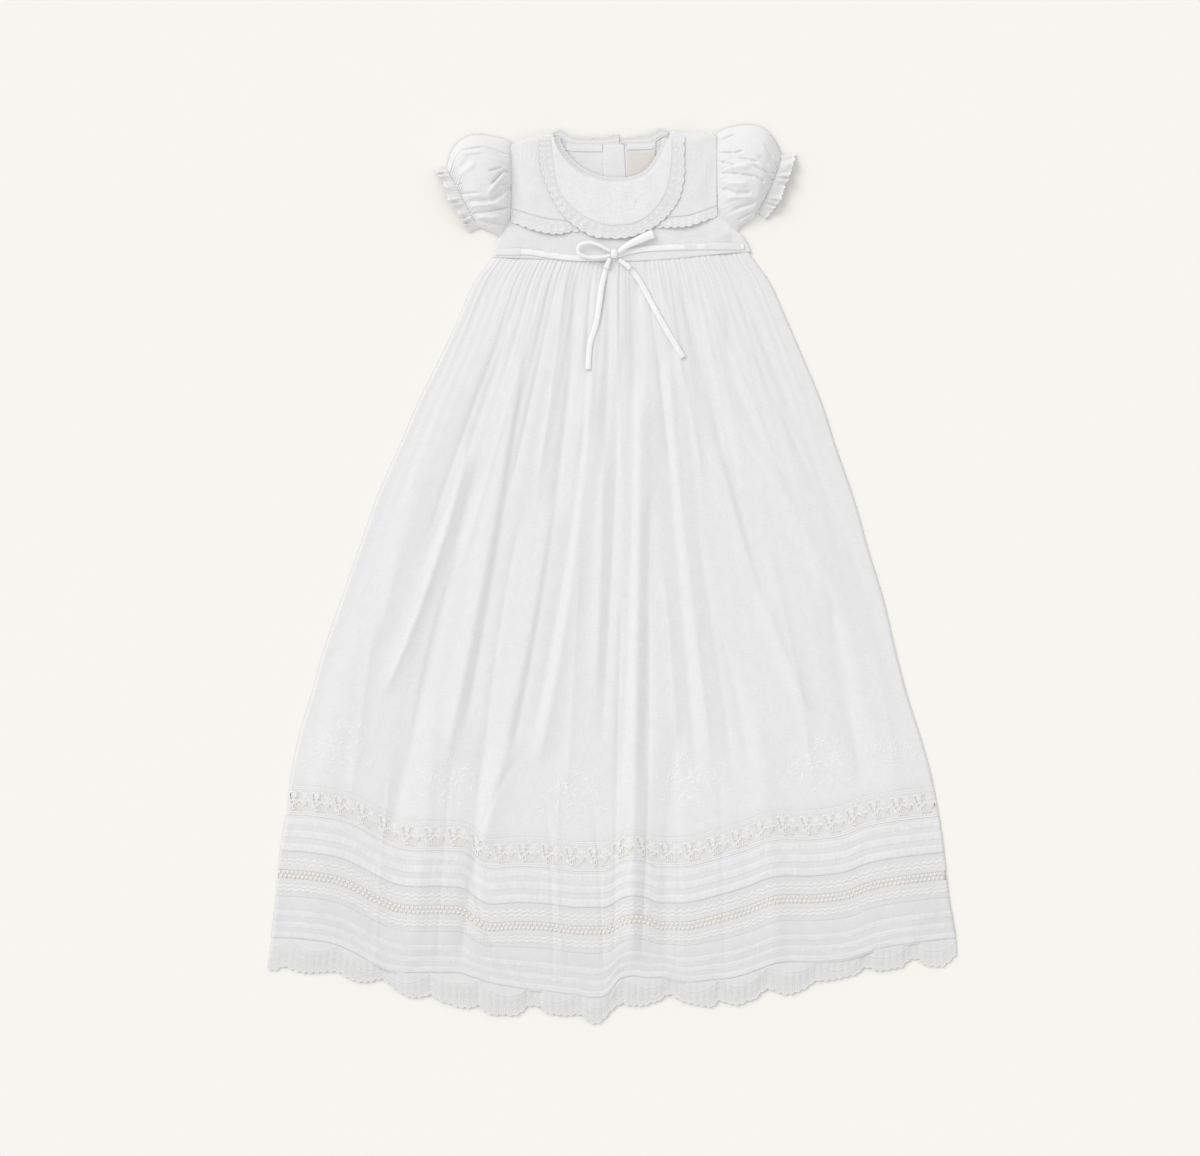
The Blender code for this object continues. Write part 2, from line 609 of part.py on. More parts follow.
def bodice_backs(group):
    """Two halves that meet down the middle of the back, under the placket."""
    levels = BODICE_SIDES.column("share")
    for name, left, right in (("bodice_back_left", None, BACK_OPENING - SEAM_GAP),
                              ("bodice_back_right", BACK_OPENING, None)):
        inner = right if left is None else left
        away = 1 if right is None else -1
        outer = [x for x in BACK_TOP_EDGE.column("x") if (x - inner) * away > BACK_LEAST]
        xs = sorted(outer + [inner])
        edge = Table("x y", *[(x, BACK_TOP_EDGE.read("y", "x", x)) for x in xs])
        upright_panel(name, edge, waist_at, levels, lambda x, y: 0.0, "lawn", group, wall=BACK_WALL,
                      widen=lambda x, j, left=left, right=right: widen_between(x, j, left, right))


def cape_under(x, y):
    return bodice_under(x, min(y, CAPE_TOP)) + FRONT_WALL + LAYER_GAP


def square_cape(group):
    """The square cape over the yoke, and the lace along its lower edge."""
    def low(x):
        return SQUARE_CAPE.read("y", "x", x)

    upright_panel("cape_collar", FRONT_TOP_EDGE, low, (0.0, 0.33, 0.67, 1.0), cape_under, "lawn", group,
                  wall=TRIM_WALL)
    xs = FRONT_TOP_EDGE.column("x")
    columns = 2 * (len(xs) - 1)

    def place(i, j):
        before = xs[int(i) // 2]
        after = xs[min(len(xs) - 1, (int(i) + 1) // 2)]
        x = 0.5 * (before + after)
        seam = 0.5 * (low(before) + low(after)) - SEAM_GAP
        ripple = CAPE_LACE_RIPPLE * (int(i) % 2) if j == 2 else 0.0
        y = seam - (SQUARE_CAPE.read("drop", "x", x) + ripple) * j / 2
        curl = CAPE_LACE_CURL * max(0.0, SQUARE_CAPE.read("curl", "x", x)) * smooth(j / 2)
        return x, y, bodice_under(x, y) + FRONT_WALL + LAYER_GAP + curl

    cloth_panel("cape_lace", columns, 2, place, "lace", group, wall=TRIM_WALL)


def collar_under(x, y):
    return cape_under(x, y) + TRIM_WALL + LAYER_GAP


def round_collar(group):
    """The round collar on the cape, its lace edge, and the lace that peeps inside the neckline."""
    columns = 2 * (len(ROUND_COLLAR) - 1)
    steps = Table("step " + " ".join(ROUND_COLLAR.names),
                  *[(k, *row.values()) for k, row in enumerate(ROUND_COLLAR.rows)])

    def station(i, edge):
        return steps.read(edge + "_x", "step", i / 2), steps.read(edge + "_y", "step", i / 2)

    def between(first, last, gap):
        def place(i, j):
            x1, y1 = station(i, first)
            x2, y2 = station(i, last)
            length = math.hypot(x2 - x1, y2 - y1)
            t = (gap + (length - gap) * j / 2) / length
            x = x1 + (x2 - x1) * t
            y = y1 + (y2 - y1) * t
            return x, y, collar_under(x, y)
        return place

    cloth_panel("round_collar", columns, 2, between("neck", "seam", 0.0), "lawn", group, wall=TRIM_WALL)
    cloth_panel("round_collar_lace", columns, 2, between("seam", "lace", SEAM_GAP), "lace", group,
                wall=TRIM_WALL)

    def peep(i, j):
        x, y = station(i, "neck")
        before = station(max(0, i - 0.5), "neck")
        after = station(min(columns, i + 0.5), "neck")
        along = (after[0] - before[0], after[1] - before[1])
        length = math.hypot(*along)
        across = (-along[1] / length, along[0] / length)
        out = NECK_LACE_SET + NECK_LACE_WIDTH * j
        return x + across[0] * out, y + across[1] * out, FRONT_BED + TRIM_WALL + SEAM_GAP

    cloth_panel("neck_lace_front", columns, 1, peep, "lace", group, wall=TRIM_WALL)


def back_neck(group):
    """Standing lace round the back neck, and what shows inside it."""
    for name, table in (("neck_lace_back_left", NECK_LACE_LEFT), ("neck_lace_back_right", NECK_LACE_RIGHT)):
        def place(i, j, table=table):
            row = table.rows[min(int(i), len(table) - 1)]
            return row["x"], row["edge"] + (row["seam"] - row["edge"]) * j, 0.0

        cloth_panel(name, len(table) - 1, 1, place, "lace", group, wall=BACK_WALL)
    for name, table in INSIDE_NECK.items():
        def place(i, j, table=table, name=name):
            row = table.rows[min(int(i), len(table) - 1)]
            slant = PLACKET_SLANT * j * (row is table.rows[-1]) if name == "placket" else 0.0
            return row["x"] + slant, row["high"] + (row["low"] - row["high"]) * j, FRONT_BED

        wall = LABEL_WALL if name == "neck_label" else TRIM_WALL
        finish = "label" if name == "neck_label" else "lawn"
        cloth_panel(name, len(table) - 1, 1, place, finish, group, wall=wall)


def strip(name, table, stations, under, group, wall=RIBBON_WALL, width=None):
    """A ribbon along the points of a table."""
    steps = Table("step " + " ".join(table.names), *[(k, *row.values()) for k, row in enumerate(table.rows)])
    last = len(table) - 1

    def centre(t):
        return steps.read("x", "step", t), steps.read("y", "step", t)

    def place(i, j):
        t = last * i / stations
        x, y = centre(t)
        before = centre(max(0.0, t - 0.2))
        after = centre(min(float(last), t + 0.2))
        along = (after[0] - before[0], after[1] - before[1])
        length = math.hypot(*along)
        half = 0.5 * (width or steps.read("width", "step", t)) * (1 - 2 * j)
        lift = steps.read("lift", "step", t) if "lift" in table.names else 0.0
        x_out = x - along[1] / length * half
        y_out = y + along[0] / length * half
        return x_out, y_out, under(x, y) + lift

    cloth_panel(name, stations, 1, place, "satin", group, wall=wall)


def over_skirt(x, y):
    """A height clear of every gather and fold of the skirt round a point."""
    heights = []
    for dy in BOW_FOOT[::2]:
        level = min(y + dy, WAIST_LEVEL)
        left = SKIRT_SIDES.read("left", "y", level)
        right = SKIRT_SIDES.read("right", "y", level)
        for dx in BOW_FOOT:
            share = (x + dx - left) / (right - left)
            nearest = round(share * 2 * GATHER_COUNT) / (2 * GATHER_COUNT)
            heights.append(skirt_under(nearest, level))
    return max(heights) + FRONT_WALL + LAYER_GAP


def ribbon_and_bow(group):
    def over_bodice(x, y):
        return bodice_under(x, y) + FRONT_WALL + RIBBON_SET

    def over_ribbon(x, y):
        return FRONT_BED + NECK_LIFT + FRONT_WALL + RIBBON_SET + RIBBON_WALL + LAYER_GAP

    def over_both(x, y):
        return max(over_skirt(x, y), over_ribbon(x, y) if y > BOW_LEVEL else 0.0)

    strip("waist_ribbon", WAIST_RIBBON, RIBBON_STATIONS, over_bodice, group, width=RIBBON_WIDTH)
    strip("bow_loop_left", BOW_LOOP_LEFT, LOOP_LEFT_STATIONS, over_ribbon, group)
    strip("bow_loop_right", BOW_LOOP_RIGHT, LOOP_RIGHT_STATIONS, over_ribbon, group)
    for name, table in (("bow_tail_left", BOW_TAIL_LEFT), ("bow_tail_right", BOW_TAIL_RIGHT)):
        strip(name, table, TAIL_STATIONS, over_both, group)
    mesh = bmesh.new()
    bmesh.ops.create_uvsphere(mesh, u_segments=12, v_segments=8, radius=0.5)
    x, y = BOW_KNOT_CENTRE
    base = over_ribbon(x, y)
    wide, long, high = BOW_KNOT_SIZE
    for vert in mesh.verts:
        vert.co.x = (x + vert.co.x * wide) * MM
        vert.co.y = (y + vert.co.y * long) * MM
        vert.co.z = (base + (vert.co.z + 0.5) * high) * MM
    finish_object("bow_knot", mesh, "satin", group)


def flat_tube(name, table, side, finish, group):
    """A sleeve or frill lying on its underside: an outer and an inner ring at each row of its table."""
    top = SLEEVE_TOP_STEPS
    around = top + SLEEVE_UNDER_STEPS
    rings = len(table)

    def ring_point(k, number, inner):
        row = table.rows[k]
        number %= around
        over = number <= top
        share = number / top if over else 1.0 - (number - top) / SLEEVE_UNDER_STEPS
        length = math.hypot(row["under_x"] - row["top_x"], row["under_y"] - row["top_y"])
        inset = SLEEVE_INSET / length
        swell = math.sin(math.pi * min(max(share, inset if inner else 0.0), 1.0 - inset if inner else 1.0))
        rise = (row["height"] - SLEEVE_RIM) * max(swell, 0.0) ** SLEEVE_FULLNESS
        gather = row["gather"] * (1 if number % 2 else -1) * smooth(swell * 3.0)
        z = SLEEVE_RIM + rise + gather if over else 0.0
        if inner:
            rim = over and number in (0, top)
            z = 0.5 * z if rim else z - SLEEVE_WALL if over else SLEEVE_WALL
            share = min(max(share, inset), 1.0 - inset)
        bow = side * row["bow"] * 4.0 * share * (1.0 - share)
        x = row["top_x"] + (row["under_x"] - row["top_x"]) * share + bow
        y = row["top_y"] + (row["under_y"] - row["top_y"]) * share
        seam = bodice_side("left" if side > 0 else "right", y)
        seam -= side * (ARMHOLE_GAP if y > ARMHOLE_CORNER else ARMHOLE_CORNER_GAP)
        x += (seam - x) * row["hug"]
        return x * MM, y * MM, z * MM

    mesh = bmesh.new()
    bmesh.ops.create_grid(mesh, x_segments=around, y_segments=2 * rings, size=0.5)
    for vert in mesh.verts:
        number = round((vert.co.x + 0.5) * around)
        loop = round((vert.co.y + 0.5) * 2 * rings) % (2 * rings)
        inner = loop >= rings
        k = 2 * rings - 1 - loop if inner else loop
        vert.co = ring_point(k, number, inner)
    bmesh.ops.remove_doubles(mesh, verts=mesh.verts[:], dist=1e-6)
    finish_object(name, mesh, finish, group)


def sleeves(group):
    for name, side in (("left", 1), ("right", -1)):
        flat_tube("sleeve_" + name, SLEEVES[name], side, "lawn", group)
        flat_tube("cuff_frill_" + name, CUFF_FRILLS[name], side, "lace", group)


def main():
    clear_scene()
    gown = new_collection("christening_gown")
    skirt_front(gown)
    skirt_back(gown)
    insertion_lace(gown)
    tuck_bands(gown)
    beading_lace(gown)
    hem_lace("hem_lace_front", gown, front=True, steps=8, shorter=0.0)
    hem_lace("hem_lace_back", gown, front=False, steps=4, shorter=2.0)
    bodice_front(gown)
    bodice_backs(gown)
    square_cape(gown)
    round_collar(gown)
    back_neck(gown)
    ribbon_and_bow(gown)
    sleeves(gown)


main()
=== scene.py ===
"""Dressed model of a baby's christening gown, laid flat on its back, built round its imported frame.

Sizes and tables are in millimetres and points become metres where a mesh is made. +X is to the
right, +Y towards the neck and +Z up from the surface that the gown lies on.
"""
import math

import bmesh
import bpy
import numpy as np
from bpy.props import FloatProperty, FloatVectorProperty, PointerProperty
from bpy.types import Operator, Panel, PropertyGroup
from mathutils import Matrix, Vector


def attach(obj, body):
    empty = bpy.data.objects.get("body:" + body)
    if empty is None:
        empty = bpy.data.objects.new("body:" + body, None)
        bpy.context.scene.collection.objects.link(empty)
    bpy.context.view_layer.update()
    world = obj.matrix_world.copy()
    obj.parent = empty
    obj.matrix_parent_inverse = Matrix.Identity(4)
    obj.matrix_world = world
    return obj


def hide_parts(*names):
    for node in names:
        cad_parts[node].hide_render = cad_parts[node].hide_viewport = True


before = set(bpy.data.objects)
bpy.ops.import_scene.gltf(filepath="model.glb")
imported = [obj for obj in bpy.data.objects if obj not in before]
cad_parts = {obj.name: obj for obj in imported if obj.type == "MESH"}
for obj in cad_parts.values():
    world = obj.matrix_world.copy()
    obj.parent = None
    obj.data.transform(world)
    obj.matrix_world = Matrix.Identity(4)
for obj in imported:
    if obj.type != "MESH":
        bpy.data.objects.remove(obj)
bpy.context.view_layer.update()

bl_info = {
    "name": "Christening Gown",
    "version": (1, 0, 0),
    "blender": (4, 5, 0),
    "location": "View3D > Sidebar > Gown",
    "description": "Builds a laid-out christening gown of lawn, lace and satin ribbon",
    "category": "Add Mesh",
}

MM = 0.001

# Walls and gaps of the solids that this cloth stands for
FRONT_BED = 1.5
FRONT_WALL = 1.4
TRIM_WALL = 1.0
LAYER_GAP = 0.5
BACK_WALL = 1.2
BACK_LEVEL = BACK_WALL - 0.1
BACK_INSET = 1.0

# Cut of each kind of piece that shows: width, depth and area, in metres and square metres
CUTS = {
    "skirt": (0.64, 0.54, 0.285), "hem_lace": (0.64, 0.024, 0.0125), "bodice_front": (0.24, 0.12, 0.0215),
    "bodice_back": (0.12, 0.12, 0.0118), "cape_collar": (0.19, 0.08, 0.0118),
    "cape_lace": (0.19, 0.0115, 0.0021), "round_collar": (0.12, 0.09, 0.0052),
    "round_collar_lace": (0.28, 0.0115, 0.0028), "neck_lace_front": (0.165, 0.0102, 0.0011),
    "sleeve": (0.19, 0.085, 0.0132), "cuff_frill": (0.2, 0.0125, 0.0023),
}
NECK_LACE_FULLNESS = 1.1
NECK_LACE_DEPTH = 8.8

# Skirt
SIDE_ROLL = 45.0
BODY_LIFT = 3.2
WAIST_LIFT = 1.3
WAIST_ROLL = 70.0
GATHER_COUNT = 56
GATHER_HEIGHT = 0.45
GATHER_REACH = 48.0
GATHER_UNEVEN = 30.0
GATHER_ROLL = 12.0
GATHER_WANDER = ((0.55, 0.45, 3), (0.2, 1.7, 4))
GATHER_LEAST_REACH = 14.0
PUCKER_HEIGHT = 0.1
PUCKER_REACH = 22.0
PLEAT_HEIGHT = 0.4
PLEAT_START = 30.0
PLEAT_REACH = 190.0
SLACK_HEIGHT = 0.22
SLACK_START = 80.0
FOLD_FADE = 40.0
SEAM_TURN = 3.0
SEAM_LEVEL = 0.7
SEAM_TUCK = 1.3

# Trim bands, by their top and bottom distance below the lace line
LACE_BAND = (0.3, 27.5)
UPPER_TUCKS_BAND = (27.8, 60.7)
UPPER_TUCKS = ((30.4, 36.8), (41.4, 47.8), (53.4, 59.8))
BEADING_BAND = (61.0, 102.8)
LOWER_TUCKS_BAND = (103.1, 143.6)
LOWER_TUCKS = ((116.8, 122.4), (127.9, 133.4), (138.0, 143.0))
HEM_BAND_TOP = 143.9
HEM_LEAST = 3.0
HEM_RISE_TOP = 88.0
HEM_RISE_REACH = 50.0
LACE_REPEATS = 28
HEM_WIDTH = 640.0
LACE_LEVEL = -0.4
LACE_BACK = 0.72

# Bodice, collars and ribbon
BACK_OPENING = 2.0
SEAM_GAP = 0.3
SHOULDER_LEFT = -92.5
SHOULDER_RIGHT = 97.0
SHOULDER_LEVEL = 406.0
SHOULDER_OVERHANG = 6.0
SHOULDER_STEEPNESS = 2.0
NECK_LIFT = 1.9
NECK_LIFT_ROLL = 22.0
CAPE_TOP = 404.0
NECK_LACE_WIDTH = 4.2
NECK_LACE_SET = 2.0
RIBBON_WIDTH = 5.5
RIBBON_WALL = 1.0
RIBBON_SET = 0.8

# Puff sleeves
SLEEVE_RIM = 1.5
SLEEVE_FULLNESS = 0.55
SLEEVE_LOFT = 0.8
SLEEVE_OVER = 0.76
SLEEVE_FLOOR = 0.6
SLEEVE_UNDERSIDE = 0.15
ARMHOLE_DROP = 0.7
FRILL_WAVE = 2.7
# Gathers along the armhole, the cuff and the frill: how many, how long as a share, and how deep
ARMHOLE_GATHERS = (17.0, 0.24, 2.0)
CUFF_GATHERS = (22.0, 0.14, 2.4)
FRILL_GATHERS = (22.0, 0.5, 1.0)


class Table:
    """Sizes in named columns, read between the rows along a smooth curve."""

    def __init__(self, columns, *rows):
        self.names = columns.split()
        self.rows = np.array(rows, float)

    def column(self, name):
        return self.rows[:, self.names.index(name)]

    def straight(self, wanted, along, values):
        return np.interp(values, self.column(along), self.column(wanted))

    def read(self, wanted, along, values):
        order = np.argsort(self.column(along), kind="stable")
        xs = self.column(along)[order]
        ys = self.column(wanted)[order]
        steps = np.diff(xs)
        slopes = np.diff(ys) / steps
        before = np.concatenate((slopes[:1], slopes[:-1]))
        after = np.concatenate((slopes[1:], slopes[-1:]))
        start = np.where(slopes * before > 0, 0.5 * (slopes + before), 0.0)
        end = np.where(slopes * after > 0, 0.5 * (slopes + after), 0.0)
        values = np.clip(values, xs[0], xs[-1])
        i = np.clip(np.searchsorted(xs, values, side="right") - 1, 0, len(xs) - 2)
        t = (values - xs[i]) / steps[i]
        t2 = t * t
        t3 = t2 * t
        return ((2 * t3 - 3 * t2 + 1) * ys[i] + (t3 - 2 * t2 + t) * start[i] * steps[i]
                + (3 * t2 - 2 * t3) * ys[i + 1] + (t3 - t2) * end[i] * steps[i])

    def numbered(self):
        """The same table with a first column that counts its rows."""
        rows = np.column_stack((np.arange(len(self.rows)), self.rows))
        return Table("step " + " ".join(self.names), *rows)


SKIRT_SIDES = Table(
    "y left right",
    (296, -107, 126), (291, -109, 129), (270, -124, 144), (233, -141, 161), (196, -158, 177),
    (160, -176, 192), (114, -196, 207), (68, -216, 223), (22, -232, 236), (-24, -248, 250),
    (-70, -264, 261), (-116, -277, 273), (-153, -288, 285), (-190, -295, 295), (-227, -300, 302),
    (-264, -306, 307), (-300, -309, 311), (-337, -313, 317), (-367, -317, 318),
)
WAIST_SEAM = Table(
    "share y",
    (0.0, 290.3), (0.3, 287.7), (0.5, 286.6), (0.7, 289.0), (0.85, 292.5), (1.0, 295.6),
)
# The line where the first lace begins, pushed up and down by the folds of the skirt
LACE_LINE = Table(
    "share y",
    (0.0, -194), (0.05, -196), (0.1, -202), (0.15, -217), (0.18, -225), (0.25, -227), (0.28, -229),
    (0.3, -238), (0.32, -243), (0.36, -241.5), (0.4, -242.5), (0.45, -246), (0.485, -246),
    (0.5, -243), (0.515, -237), (0.53, -235), (0.55, -237), (0.57, -242), (0.6, -242), (0.65, -236),
    (0.7, -227), (0.74, -218), (0.8, -217), (0.85, -213), (0.88, -206), (0.92, -201), (1.0, -195.5),
)
# The scalloped edge of the hem, and how far its folds draw the lowest bands up
HEM_EDGE = Table(
    "share drop",
    (0, 172.9), (0.0098, 173.6), (0.0235, 169.7), (0.0357, 172.2), (0.0536, 174), (0.0739, 172.4),
    (0.0911, 169.3), (0.1058, 167.3), (0.116, 169), (0.1319, 167.6), (0.1493, 162.1), (0.1696, 154.3),
    (0.1812, 158.3), (0.1957, 163.4), (0.2102, 166.7), (0.2276, 166), (0.2363, 164.2), (0.2464, 168.6),
    (0.2623, 172.1), (0.2797, 175.6), (0.2971, 171.9), (0.3058, 168.5), (0.3159, 171.7),
    (0.3261, 172.9), (0.3435, 170.4), (0.358, 170), (0.3681, 166.2), (0.3768, 159.9), (0.3855, 158.4),
    (0.3942, 158.7), (0.4029, 163.8), (0.4188, 164.3), (0.4362, 163.7), (0.4536, 161.5),
    (0.4623, 164.7), (0.4724, 167.5), (0.4811, 166.9), (0.4883, 164.2), (0.497, 162.2), (0.5072, 165.5),
    (0.5159, 167.4), (0.526, 170.8), (0.5405, 170.4), (0.5579, 166.6), (0.568, 165.1), (0.5753, 161.6),
    (0.584, 158.4), (0.5941, 160.1), (0.6071, 162.5), (0.6216, 164.7), (0.6361, 167.7), (0.6463, 168.4),
    (0.6535, 163.2), (0.6651, 165.7), (0.6854, 170.2), (0.697, 168.8), (0.7057, 169.7), (0.7144, 166.4),
    (0.7231, 164.9), (0.7375, 169.8), (0.752, 173.8), (0.7694, 171.2), (0.781, 167.3), (0.7926, 161.7),
    (0.81, 161.5), (0.8274, 160.6), (0.8448, 159.6), (0.8549, 159.5), (0.8622, 156.6), (0.8709, 158),
    (0.8825, 163.2), (0.8999, 164.8), (0.9173, 164.8), (0.9289, 159.4), (0.9406, 158.5),
    (0.9521, 164.8), (0.9666, 167.5), (0.9782, 168.2), (0.987, 165.1), (0.9988, 158.5),
)
HEM_RISE = Table(
    "share rise",
    (0, 3), (0.099, 4), (0.193, 4), (0.251, 4), (0.275, 5), (0.312, 12), (0.345, 7), (0.372, 4),
    (0.404, 3), (0.445, 3), (0.472, 0), (0.493, 2), (0.51, 9), (0.546, 9), (0.572, 15), (0.598, 11),
    (0.636, 8), (0.685, 4), (0.772, 4), (1, 4),
)
# Folds of the skirt front: three points of each crest, its half width, and its rise or dip
FOLDS = Table(
    "y1 x1 y2 x2 y3 x3 width rise",
    (176, -110, 114, -132, 40, -159, 9, -1.8), (91, -138, 20, -158, -80, -195, 8, 3.2),
    (70, -130, -35, -157, -222, -199, 12, -2.6), (173, -85, -11, -119, -145, -146, 11, 3.4),
    (176, -82, 11, -107, -118, -130, 8, -2.2), (40, -57, -67, -77, -236, -116, 13, 3.2),
    (252, -33, 115, -45, -134, -85, 8, -2.6), (111, -27, -34, -49, -118, -65, 8, -2.0),
    (156, -19, -1, -36, -145, -61, 10, 2.8), (287, -8, 178, -3, 111, -7, 7, -1.6),
    (104, -8, -22, -11, -79, -13, 8, 2.0), (178, 8, 22, 1, -123, -7, 6, -1.6),
    (252, 22, 34, 19, -170, 10, 8, -2.6), (140, 26, -112, 22, -330, 19, 12, 4.6),
    (45, 35, -101, 32, -170, 31, 7, -1.8), (167, 53, 22, 68, -138, 87, 9, 2.6),
    (178, 47, -11, 63, -156, 76, 8, -2.2), (233, 72, 111, 103, -11, 136, 9, -2.6),
    (89, 104, 6, 129, -107, 172, 10, 3.2), (215, 107, 151, 123, 111, 145, 9, -1.8),
    (93, 147, 49, 172, -11, 201, 12, 2.4), (265, 116, 111, 183, -76, 259, 10, -2.6),
    (-79, 107, -118, 116, -156, 123, 8, -1.6), (-45, 203, -110, 212, -170, 228, 11, -1.8),
    (160, -158, 48, -190, -35, -208, 14, 1.8), (-70, -240, -110, -252, -190, -268, 16, 1.6),
    (-150, -165, -250, -172, -330, -180, 16, 2.4), (-180, -120, -260, -127, -330, -135, 9, -2.4),
    (-160, 60, -240, 52, -330, 50, 12, -2.2), (-150, 135, -240, 145, -330, 150, 18, 2.2),
)
# Finer creases between the folds, in the same way
CREASES = Table(
    "y1 x1 y2 x2 y3 x3 width rise",
    (230, -96, 150, -128, 60, -160, 5, -1.0), (240, -70, 150, -96, 40, -128, 5, 1.0),
    (250, -56, 180, -70, 100, -88, 4, -1.1), (255, -44, 190, -52, 120, -62, 4, 1.1),
    (262, -20, 200, -22, 130, -26, 4, -1.0), (262, 4, 200, 6, 120, 8, 4, 1.0),
    (262, 34, 200, 42, 120, 52, 4, -1.1), (258, 48, 200, 62, 120, 78, 4, 1.1),
    (252, 66, 190, 88, 110, 110, 5, -1.0), (248, 90, 180, 120, 100, 150, 5, 1.0),
    (240, 112, 170, 146, 90, 182, 5, -1.0), (0, -150, -70, -170, -150, -186, 6, 0.9),
    (20, -90, -60, -104, -160, -116, 5, -1.0), (0, -30, -80, -34, -180, -40, 6, 1.0),
    (-20, 50, -90, 56, -170, 62, 5, 0.9), (10, 84, -70, 96, -160, 108, 6, -1.1),
    (0, 150, -80, 168, -170, 182, 6, 1.0), (-20, 200, -90, 214, -170, 226, 6, -0.9),
    (-60, 8, -180, 5, -320, 3, 3, -1.0), (-60, 35, -180, 34, -320, 29, 3, -1.0),
    (-190, -100, -255, -124, -345, -108, 3.5, -1.1), (-235, -58, -290, -55, -345, -54, 2.5, -0.6),
    (-240, -14, -300, -10, -345, -8, 2.5, -0.7), (-200, -48, -270, -50, -345, -46, 3, 0.5),
    (-235, 60, -290, 62, -345, 60, 3, -0.5), (-210, 100, -280, 102, -345, 104, 3, -0.5),
    (-205, -150, -280, -156, -345, -160, 3, -0.6), (-200, -205, -270, -212, -345, -216, 3, 0.5),
    (-60, -220, -120, -228, -180, -236, 6, 0.9), (-60, 240, -120, 252, -180, 260, 6, 0.8),
)
# Bodice side seams, by the share of the way down from the shoulder to the waist, and where each runs
BODICE_SIDES = Table(
    "share left right",
    (0.0, -92.5, 97), (0.32, -92.5, 97), (0.62, -92.5, 97), (0.7, -95.5, 101), (0.78, -100, 109),
    (0.85, -104.5, 120), (0.92, -107, 124.5), (1.0, -109, 128.5),
)
SIDE_SEAM_ENDS = {"left": (394.0, 290.3), "right": (401.6, 295.6)}
# The upper edge of the bodice front: shoulder seam, front neckline, shoulder seam
FRONT_TOP_EDGE = Table(
    "x y",
    (-92.5, 394), (-75, 400), (-60, 402.5), (-54.3, 404), (-53.4, 402), (-51.1, 394), (-44.6, 383),
    (-36.3, 374), (-26.2, 366.6), (-15.2, 362), (-4.1, 359.3), (9.7, 358.8), (22.5, 361), (33.6, 366.6),
    (41.9, 375.8), (48.3, 387.8), (52.5, 399), (53.8, 404.3), (63, 405.3), (81.4, 404.3), (97, 401.6),
)
BACK_TOP_EDGE = Table(
    "x y",
    (-92.5, 394), (-75, 400), (-56, 403), (-47, 401), (-42, 397.5), (-34, 395), (0, 395), (8, 396.5),
    (35, 395.5), (42, 398.5), (48, 402.5), (63, 405), (81.4, 404.3), (97, 401.6),
)
# Round collar: its neck edge, its outer seam and the outer edge of its lace, from left to right
ROUND_COLLAR = Table(
    "neck_x neck_y seam_x seam_y lace_x lace_y",
    (-52.9, 400.7, -54.9, 400.5, -64.9, 401.6), (-51.1, 394.2, -53.6, 388.0, -65.8, 387.8),
    (-44.6, 383.2, -51.3, 369.4, -63.9, 369.4), (-36.3, 374.0, -47.4, 351.9, -56.6, 350.1),
    (-26.2, 366.6, -38.2, 339.0, -47.4, 332.6), (-15.2, 362.0, -25.3, 328.0, -31.7, 317.9),
    (-4.1, 359.3, -6.9, 320.2, -9.7, 308.2), (9.7, 358.8, 12.4, 319.7, 15.2, 308.7),
    (22.5, 361.0, 30.8, 326.1, 38.2, 317.9), (33.6, 366.6, 43.7, 339.0, 53.8, 331.7),
    (41.9, 375.8, 51.1, 352.8, 63.0, 347.3), (48.3, 387.8, 54.7, 373.1, 66.7, 371.2),
    (52.4, 399.0, 56.1, 399.7, 66.7, 401.5),
)
# Square cape: its lower seam, how deep its lace hangs, and how much that lace curls up
SQUARE_CAPE = Table(
    "x y drop curl",
    (-91.5, 335.3, 12, 0.0), (-75, 329.8, 13, 0.6), (-61, 326.1, 13, 1.0), (-46, 324.2, 12, 1.0),
    (-36, 323.4, 9, 0.0), (0, 322.5, 9, 0.0), (40, 327.0, 9, 0.0), (56, 327.1, 9, 0.8),
    (72, 328.9, 9.5, 1.0), (84, 333.0, 9.5, 0.5), (96, 337.2, 9, 0.0),
)
NECK_LACE_LEFT = Table(
    "x seam edge",
    (-53.4, 403.8, 405.0), (-46.5, 401.4, 408.8), (-42, 398.2, 405.9), (-35, 395.6, 401.6),
    (-20, 395.4, 400.9), (-6, 395.4, 401.6), (6.9, 396.8, 404.8),
)
NECK_LACE_RIGHT = Table(
    "x seam edge",
    (8.7, 396.8, 399.8), (17, 396.2, 401.1), (28, 396.0, 403.0), (35, 396.2, 404.0),
    (41, 398.6, 407.6), (45.5, 402.1, 410.2), (52, 404.5, 406.9),
)
# Inside the back neck: facings, button placket and the blank neck label, by their four edges
INSIDE_NECK = {
    "neck_facing_left": Table("x low high", (-43, 389.0, 396.6), (-34, 388.0, 394.6), (-8.2, 387.8, 394.6)),
    "neck_facing_right": Table("x low high", (13.8, 389.6, 394.9), (35, 390.0, 395.1), (41, 391.5, 397.6)),
    "placket": Table("x low high", (-7.8, 330.0, 394.6), (6.0, 330.0, 395.2), (11.6, 330.0, 394.4)),
    "neck_label": Table("x low high", (14.3, 361.4, 388.9), (40.9, 361.9, 389.9)),
}
PLACKET_SLANT = 3.6
WAIST_RIBBON = Table(
    "x y",
    (-106, 295.4), (-80, 295.4), (-61, 293.1), (-43, 290.6), (-24, 289.6), (0, 291.5), (17, 295.8),
    (31, 298.2), (45, 299.0), (63, 299.9), (100, 300.4), (122, 300.2),
)
